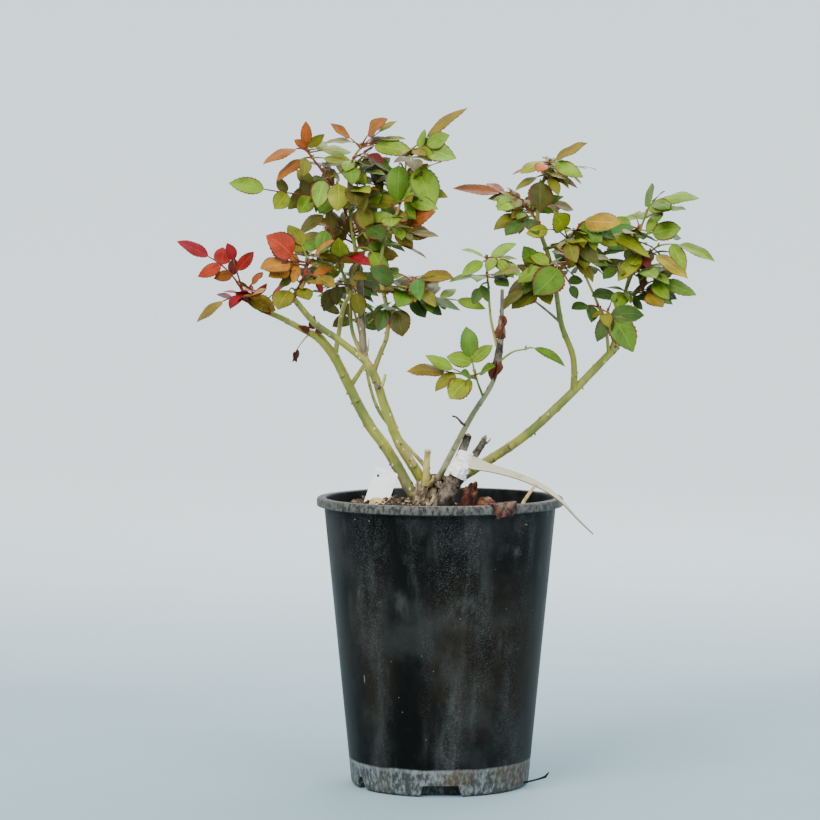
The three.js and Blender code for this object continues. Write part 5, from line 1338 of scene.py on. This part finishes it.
replaced = list(masses)
for letter, (code, name, slot) in tints.items():
    pile = leafPiles[letter]
    if pile["faces"]:
        surface = bladeSurface("leaf " + name.replace("_", " "), code)
        pieceOf(pile, "leaves_" + name, surface, replaced, 60)
        replaced = ()
for name, (code, slot) in backTints.items():
    pieceOf(backPiles[name], "leaf_backs_" + name, plainSurface("leaf back " + name, code, 0.6), (), 60)
for name, (code, slot) in edgeTints.items():
    pieceOf(edgePiles[name], "leaf_edges_" + name, plainSurface("leaf edge " + name, code, 0.5), (), 60)
pieceOf(redTwigs, "red_twigs", plainSurface("red young bark", twigLook["red"], 0.42, 90))
pieceOf(greenTwigs, "green_twigs", plainSurface("green young bark", twigLook["green"], 0.45, 90))
pieceOf(budPile, "buds", plainSurface("bud scales", twigLook["bud"], 0.5))
print("foliage made:", leafCount, "leaflets")


# Labels, bark and the dead leaf on the rim

labelLook = {"white": "#ffffff", "grime": "#d2d2c6", "holeAt": (-49.8, 252.2), "holeShade": "#33363a",
             "hole": [1.15, 1.1, 0.8]}
ribbonForm = {"path": [[24, -24, 262.5], [42, -28, 257.5], [66, -33, 250.5], [85, -38, 241.5], [96, -41, 233],
                       [109, -39, 219], [122, -36, 206]],
              "width": 5.6, "thick": 0.5, "steps": 70, "turn": (20, 70), "cup": 0.35,
              "edges": ((-1, 0.42), (1, 0.26))}
ribbonLook = {  # colour, grime and roughness
    # the edges' colours are painted shade: a dark outline along the ribbon's rims
    "band": ("#bab294", "#675e47", 0.38), "edges": ("#5f5642", "#30291d", 0.6),
    "paper": ("#f4f2ea", "#cfc6b0", 0.7)}
wrapForm = {"path": [[12.5, -20, 251.5], [17.5, -20.5, 261], [21, -20.5, 271]], "radius": 8.6,
            "narrowing": 0.34, "sides": 30, "rings": 24}


def smoothPlastic(name, code, grime, roughness=0.42):
    material, add, shader, place = newMaterial(name, roughness, 0.45)
    dirt = times(add, patchMask(add, place, 70, 0.5, 0.75, 5), 0.5)
    spots = times(add, speckMask(add, place, 420, 0.2, 0.05), 0.6)
    colour = blend(add, plus(add, dirt, spots), code, grime)
    wire(shader, Base_Color=colour, Normal=bump(add, cloud(add, place, 250), 0.15, 0.0003))
    return material


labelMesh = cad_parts["plant_label"].data
labelMesh.materials.clear()
labelMesh.materials.append(smoothPlastic("white label plastic", labelLook["white"], labelLook["grime"]))


def holePile(node, look):  # the punched hole, found on the label's face from the front
    across, up = look["holeAt"]
    spot, normal = solidOf(node)[1].ray_cast(Vector((across, -300, up)), Vector((0, 1, 0)))[:2]
    pile = newPile()
    if spot:
        tube(pile, [spot + normal * out for out in (-0.1, 0.12, 0.16)], look["hole"], 14)
    return pile


labelHole = holePile("plant_label", labelLook)
if labelHole["faces"]:
    pieceOf(labelHole, "label_hole", plainSurface("shaded hole", labelLook["holeShade"], 0.8))


def ribbonAcross(form, curve, share):  # direction and half width of the ribbon at a share of its length
    way = wayAlong(curve, share)
    turn = math.radians(form["turn"][0] + (form["turn"][1] - form["turn"][0]) * share)
    broad = squareTo(Vector((0, math.sin(turn), math.cos(turn))), way)
    half = form["width"] / 2 * (1 - max(0, share - 0.5)) * (1 if share < 0.97 else 0.75)
    return way, broad, half * (1 + 0.9 * math.exp(-(share / 0.12) ** 2))


def ribbonEdges(form):  # the slightly rolled edges of the ribbon, coloured dark as painted shade along its rims
    curve = smoothCurve(form["path"])
    shares = [i / form["steps"] for i in range(form["steps"] + 1)]
    pile = newPile()
    for side, thick in form["edges"]:
        points = []
        for share in shares:
            way, broad, half = ribbonAcross(form, curve, share)
            points.append(curve["at"](share) + broad * (side * half))
        tube(pile, points, [thick] * len(points), 6)
    return pile


def ribbonPile(form):
    curve = smoothCurve(form["path"])
    points, faces = [], []
    steps = form["steps"]
    for i in range(steps + 1):
        share = i / steps
        way, broad, half = ribbonAcross(form, curve, share)
        thin = way.cross(broad)
        for s, t in ((-1, -1), (0, -1), (1, -1), (1, 1), (0, 1), (-1, 1)):
            cup = 0 if s else form["cup"]
            points.append(curve["at"](share) + broad * (s * half) + thin * (t * form["thick"] / 2 + cup))
    for a in range(0, steps * 6, 6):
        for j in range(6):
            k = (j + 1) % 6
            faces.append([a + j, a + 6 + j, a + 6 + k, a + k])
    faces += [[0, 1, 2, 3, 4, 5], [steps * 6 + k for k in (5, 4, 3, 2, 1, 0)]]
    return pileOf(points, faces)


def wrapPile(form):  # crumpled paper round the old stub
    curve = smoothCurve(form["path"])
    shares = [i / form["rings"] for i in range(form["rings"] + 1)]
    radii = [form["radius"] * (1 - form["narrowing"] * share) for share in shares]
    pile = newPile()

    def crumple(along, angle, i):
        fold = abs(noise.noise(Vector((math.cos(angle) * 2.2, math.sin(angle) * 2.2, along * 0.24))))
        grain = noise.noise(Vector((math.cos(angle) * 6, math.sin(angle) * 6, along)))
        return 0.98 + 0.34 * fold + 0.05 * grain

    tube(pile, [curve["at"](share) for share in shares], radii, form["sides"], crumple, False)
    return pile


ribbonPlastic = smoothPlastic("cream ribbon plastic", *ribbonLook["band"])
# dark tubes along the ribbon's rims, coloured as painted shade
ribbonEdgeShade = smoothPlastic("ribbon edge painted shade", *ribbonLook["edges"])
paperWhite = smoothPlastic("white paper", *ribbonLook["paper"])
pieceOf(ribbonEdges(ribbonForm), "ribbon_edges", ribbonEdgeShade)
pieceOf(ribbonPile(ribbonForm), "ribbon", ribbonPlastic, ["ribbon_label"], 50)
pieceOf(wrapPile(wrapForm), "paper_wrap", paperWhite, (), 30)

lumps = {  # the two loose lumps of bark on the compost
    "flake": {"node": "bark_flake", "size": (12.6, 7, 24), "lean": 20, "seed": 3, "rough": 0.5,
              "bark": ("red brown bark", "#5c2a18", "#1b0c07", 0.5)},
    "nut": {"node": "bark_nut", "size": (17, 14, 14), "lean": 0, "seed": 8, "rough": 0.16,
            "bark": ("rubbed brown bark", "#6c391e", "#30180c", 1)}}


def lumpPile(form):  # a knocked-about ball
    ball = bmesh.new()
    bmesh.ops.create_icosphere(ball, subdivisions=4, radius=0.5)
    low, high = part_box(form["node"])
    centre = Vector((low + high) / 2 / mm)
    leant = Matrix.Rotation(math.radians(form["lean"]), 3, "Y")
    start = Vector((form["seed"], 0, 0))
    points = []
    for vertex in ball.verts:
        ridges = form["rough"] * (noise.noise(vertex.co * 3.1 + start) + 0.35 * noise.noise(vertex.co * 9))
        dented = vertex.co * (1 + ridges)
        points.append(leant @ Vector(a * b for a, b in zip(dented, form["size"])) + centre)
    faces = [[v.index for v in f.verts] for f in ball.faces]
    ball.free()
    return pileOf(points, faces)


for name, form in lumps.items():
    pieceOf(lumpPile(form), name, oldBark(*form["bark"]), [form["node"]], 50)

rimLeafForm = {"angle": -60.2, "inside": 91.5, "crest": 96, "outside": 100.9, "over": 233.6, "drop": 9.5,
               "width": 21, "steps": 30, "cells": 22, "look": ("#582a20", "#28120d", 0.7)}


def rimLeafPile(form):  # dry leaf creased over the rim
    inside, outside, over = form["inside"], form["outside"], form["over"]
    curve = smoothCurve([(inside, 0, over - 4), (inside + 0.3, 0, over), (form["crest"], 0, over + 0.6),
                         (outside, 0, over), (outside + 0.2, 0, over - 7),
                         (outside + 0.4, 0, over - form["drop"])])
    turned = Matrix.Rotation(math.radians(form["angle"]), 3, "Z")
    rows, cells = form["steps"], form["cells"]
    points, faces = [], []
    for side in (0, 1):
        for share in [i / rows for i in range(rows + 1)]:
            out = Vector((0, 1, 0)).cross(wayAlong(curve, share)).normalized()
            broad = form["width"] / 2 * (0.7 + 0.3 * math.sin(math.pi * (0.12 + 0.8 * share)))
            for s in [2 * j / cells - 1 for j in range(cells + 1)]:
                width = broad * (1 + 0.09 * noise.noise(Vector((share * 7, s, 5))))
                ripple = 0.7 * noise.noise(Vector((share * 5, s * 3, 1)))
                ripple += 0.5 * noise.noise(Vector((share * 13, s * 9, 4)))
                hang = 2.6 * share * noise.noise(Vector((s * 2.2, 7, 2))) + 1.6 * s * share
                spot = curve["at"](share) + Vector((0, s * width, hang))
                points.append(turned @ (spot - out * (abs(ripple) + 0.5 - side * 0.8)))
    stride = cells + 1
    count = stride * (rows + 1)
    for i in range(rows):
        for a in range(i * stride, i * stride + cells):
            faces.append([a, a + 1, a + stride + 1, a + stride])
            faces.append([count + a, count + a + stride, count + a + stride + 1, count + a + 1])
    edge = (list(range(cells)) + [i * stride + cells for i in range(rows)]
            + [rows * stride + j for j in range(cells, 0, -1)] + [i * stride for i in range(rows, 0, -1)])
    for a, b in zip(edge, edge[1:] + edge[:1]):
        faces.append([b, a, count + a, count + b])
    return pileOf(points, faces)


deadLeaf = oldBark("curled dry leaf", *rimLeafForm["look"])
pieceOf(rimLeafPile(rimLeafForm), "folded_leaf", deadLeaf, ["rim_leaf"], 60)

# Odd bits: a straw and its blade, hooked twigs, dead leaves caught in the bush, a root end by the pot's foot
bitTints = {"root": "#16110d", "straw": "#c9ab74", "twig": "#b59a6a", "leaf": "#66331f"}
strawPile, oddTwigs, oddLeaves, rootPile = [newPile() for _ in range(4)]
tube(strawPile, [(63, -42, 224), (67, -41, 233), (76, -40, 246)], [1.6, 1.5, 1.1], 8, None, False)
tube(oddTwigs, [(-64, 10, 355), (-62, -22, 347), (-58, -28, 352), (-57, -30, 362)], [0.9, 0.9, 0.8, 0.3], 6)
tube(oddTwigs, [(-104, 29, 365), (-109, 22, 362), (-113, 20, 357), (-117, 18, 351)], [0.8, 0.7, 0.55, 0.4], 6)
tube(rootPile, [(62, -25, 2.6), (70, -27, 4.2), (80, -29, 7.2), (84.5, -30, 9), (87.5, -30, 12.6)],
     [0.9, 0.8, 0.8, 1.1, 0.5], 7)
strawBlade = {"base": Vector((-57, -44, 229)), "along": Vector((0.9, -0.1, 0.35)).normalized(),
              "face": Vector((-0.3, -0.75, 0.6)), "length": 14, "breadth": 0.6, "fold": 0.6, "droop": 0.3}
bladePiece(strawPile, strawPile, strawPile, strawBlade, dice.Random(5))
oddBlades = [  # base, along, face, length, breadth
    ((44.4, -42.2, 344), (-0.35, -0.05, -1), (-0.6, -1, 0.1), 17, 0.52),
    ((45.2, -42.6, 345), (-0.1, -0.2, -1), (0.7, -1, 0), 14, 0.6),
    ((47, -45, 362), (0.02, -0.05, 1), (-0.6, -1, 0), 15, 0.4),
    ((50, -45, 381), (-0.02, -0.1, -1), (0.6, -1, 0.2), 12, 0.4),
    ((-116, 18, 352), (-0.2, -0.1, -1), (0.6, -1, 0), 11, 0.42),
    ((-119, 18, 350), (0.3, -0.1, -1), (0.2, -1, 0), 9, 0.4),
    ((-104, 24, 368), (0.1, -0.5, 1), (0, -1, 0.6), 11, 0.6),
    ((-107, 24, 366), (-0.5, -0.5, 0.4), (0, -1, 0.4), 10, 0.6),
    ((-102, 24, 366), (0.8, -0.5, 0.1), (0, -1, 0.4), 10, 0.55),
]
roll = dice.Random(77)
for base, along, face, length, breadth in oddBlades:
    along = Vector(along).normalized()
    blade = {"base": Vector(base), "along": along, "face": squareTo(Vector(face), along), "length": length,
             "breadth": breadth, "fold": 0.8, "droop": 0.35}
    bladePiece(oddLeaves, oddLeaves, oddLeaves, blade, roll)
pieceOf(rootPile, "root_end", plainSurface("dark root", bitTints["root"], 0.8, 200))
pieceOf(strawPile, "straw", plainSurface("tan straw", bitTints["straw"], 0.6, 200))
pieceOf(oddTwigs, "hooked_twig", plainSurface("dry twig", bitTints["twig"], 0.6, 200))
dryLeaf = plainSurface("dry brown leaf", bitTints["leaf"], 0.7, 200)
pieceOf(oddLeaves, "dead_leaflets", dryLeaf, (), 60)
print("labels and bits made")


# Pale floor that rises far off into its own backdrop, its colour darkened towards the front as painted shade,
# and soft studio light

stageForm = {"flat": 3.2, "radius": 7.5, "rise": 4.5, "curve": 2.2, "turns": 64, "steps": 14, "sunk": 0.0005,
             "pale": "#f4fbfd", "near": "#7d98a2", "haze": "#ffffff", "fade": (-0.2, 3.4)}
lamps = {"key": {"at": (-1.3, -1.9, 2.1), "size": 1.6, "power": 118, "hue": "#fffdf8"},
         "fill": {"at": (1.9, -1.7, 1.2), "size": 1.8, "power": 50, "hue": "#f4f9ff"},
         "back": {"at": (0.5, 1.5, 1.9), "size": 1.4, "power": 40, "hue": "#ffffff"}}
roomLight = {"hue": "#e9f0f3", "strength": 1.75, "aim": (0, 0, 0.3)}


def floorMesh(form):
    points = [(0, 0, 0)]
    for i in range(1, form["steps"] + 1):
        radius = form["radius"] * i / form["steps"]
        climb = max(0, (radius - form["flat"]) / (form["radius"] - form["flat"]))
        angles = [fullTurn * j / form["turns"] for j in range(form["turns"])]
        points += [(radius * math.cos(angle), radius * math.sin(angle), form["rise"] * climb ** form["curve"])
                   for angle in angles]
    mesh = meshOf("floor", points, shellFaces(1, form["steps"], form["turns"], 0, None, True), 1)
    markSharp(mesh, 60)
    return mesh


floorPaint, add, shader, place = newMaterial("backdrop with painted shade", 0.9, 0.2)
# the floor's colour runs from the dark near colour in front to pale far off: painted shade on the near floor
far = reach(add, partsOf(add, place)[1], *stageForm["fade"])
paint = blend(add, far, stageForm["near"], stageForm["pale"])
wire(shader, Base_Color=blend(add, times(add, cloud(add, place, 3, 3), 0.1), paint, stageForm["haze"]))
floor = link("floor", floorMesh(stageForm), floorPaint)
floor.location.z = -stageForm["sunk"]
for name, lamp in lamps.items():
    light = bpy.data.lights.new(name, "AREA")
    light.size = lamp["size"]
    light.energy = lamp["power"]
    light.color = tint(lamp["hue"])[:3]
    holder = bpy.data.objects.new(name, light)
    holder.location = lamp["at"]
    aim = Vector(roomLight["aim"]) - Vector(lamp["at"])
    holder.rotation_euler = aim.to_track_quat("-Z", "Y").to_euler()
    bpy.context.scene.collection.objects.link(holder)
world = bpy.data.worlds.new("room")
world.use_nodes = True
background = world.node_tree.nodes["Background"].inputs
background[0].default_value = tint(roomLight["hue"])
background[1].default_value = roomLight["strength"]
bpy.context.scene.world = world
print("stage and light made")
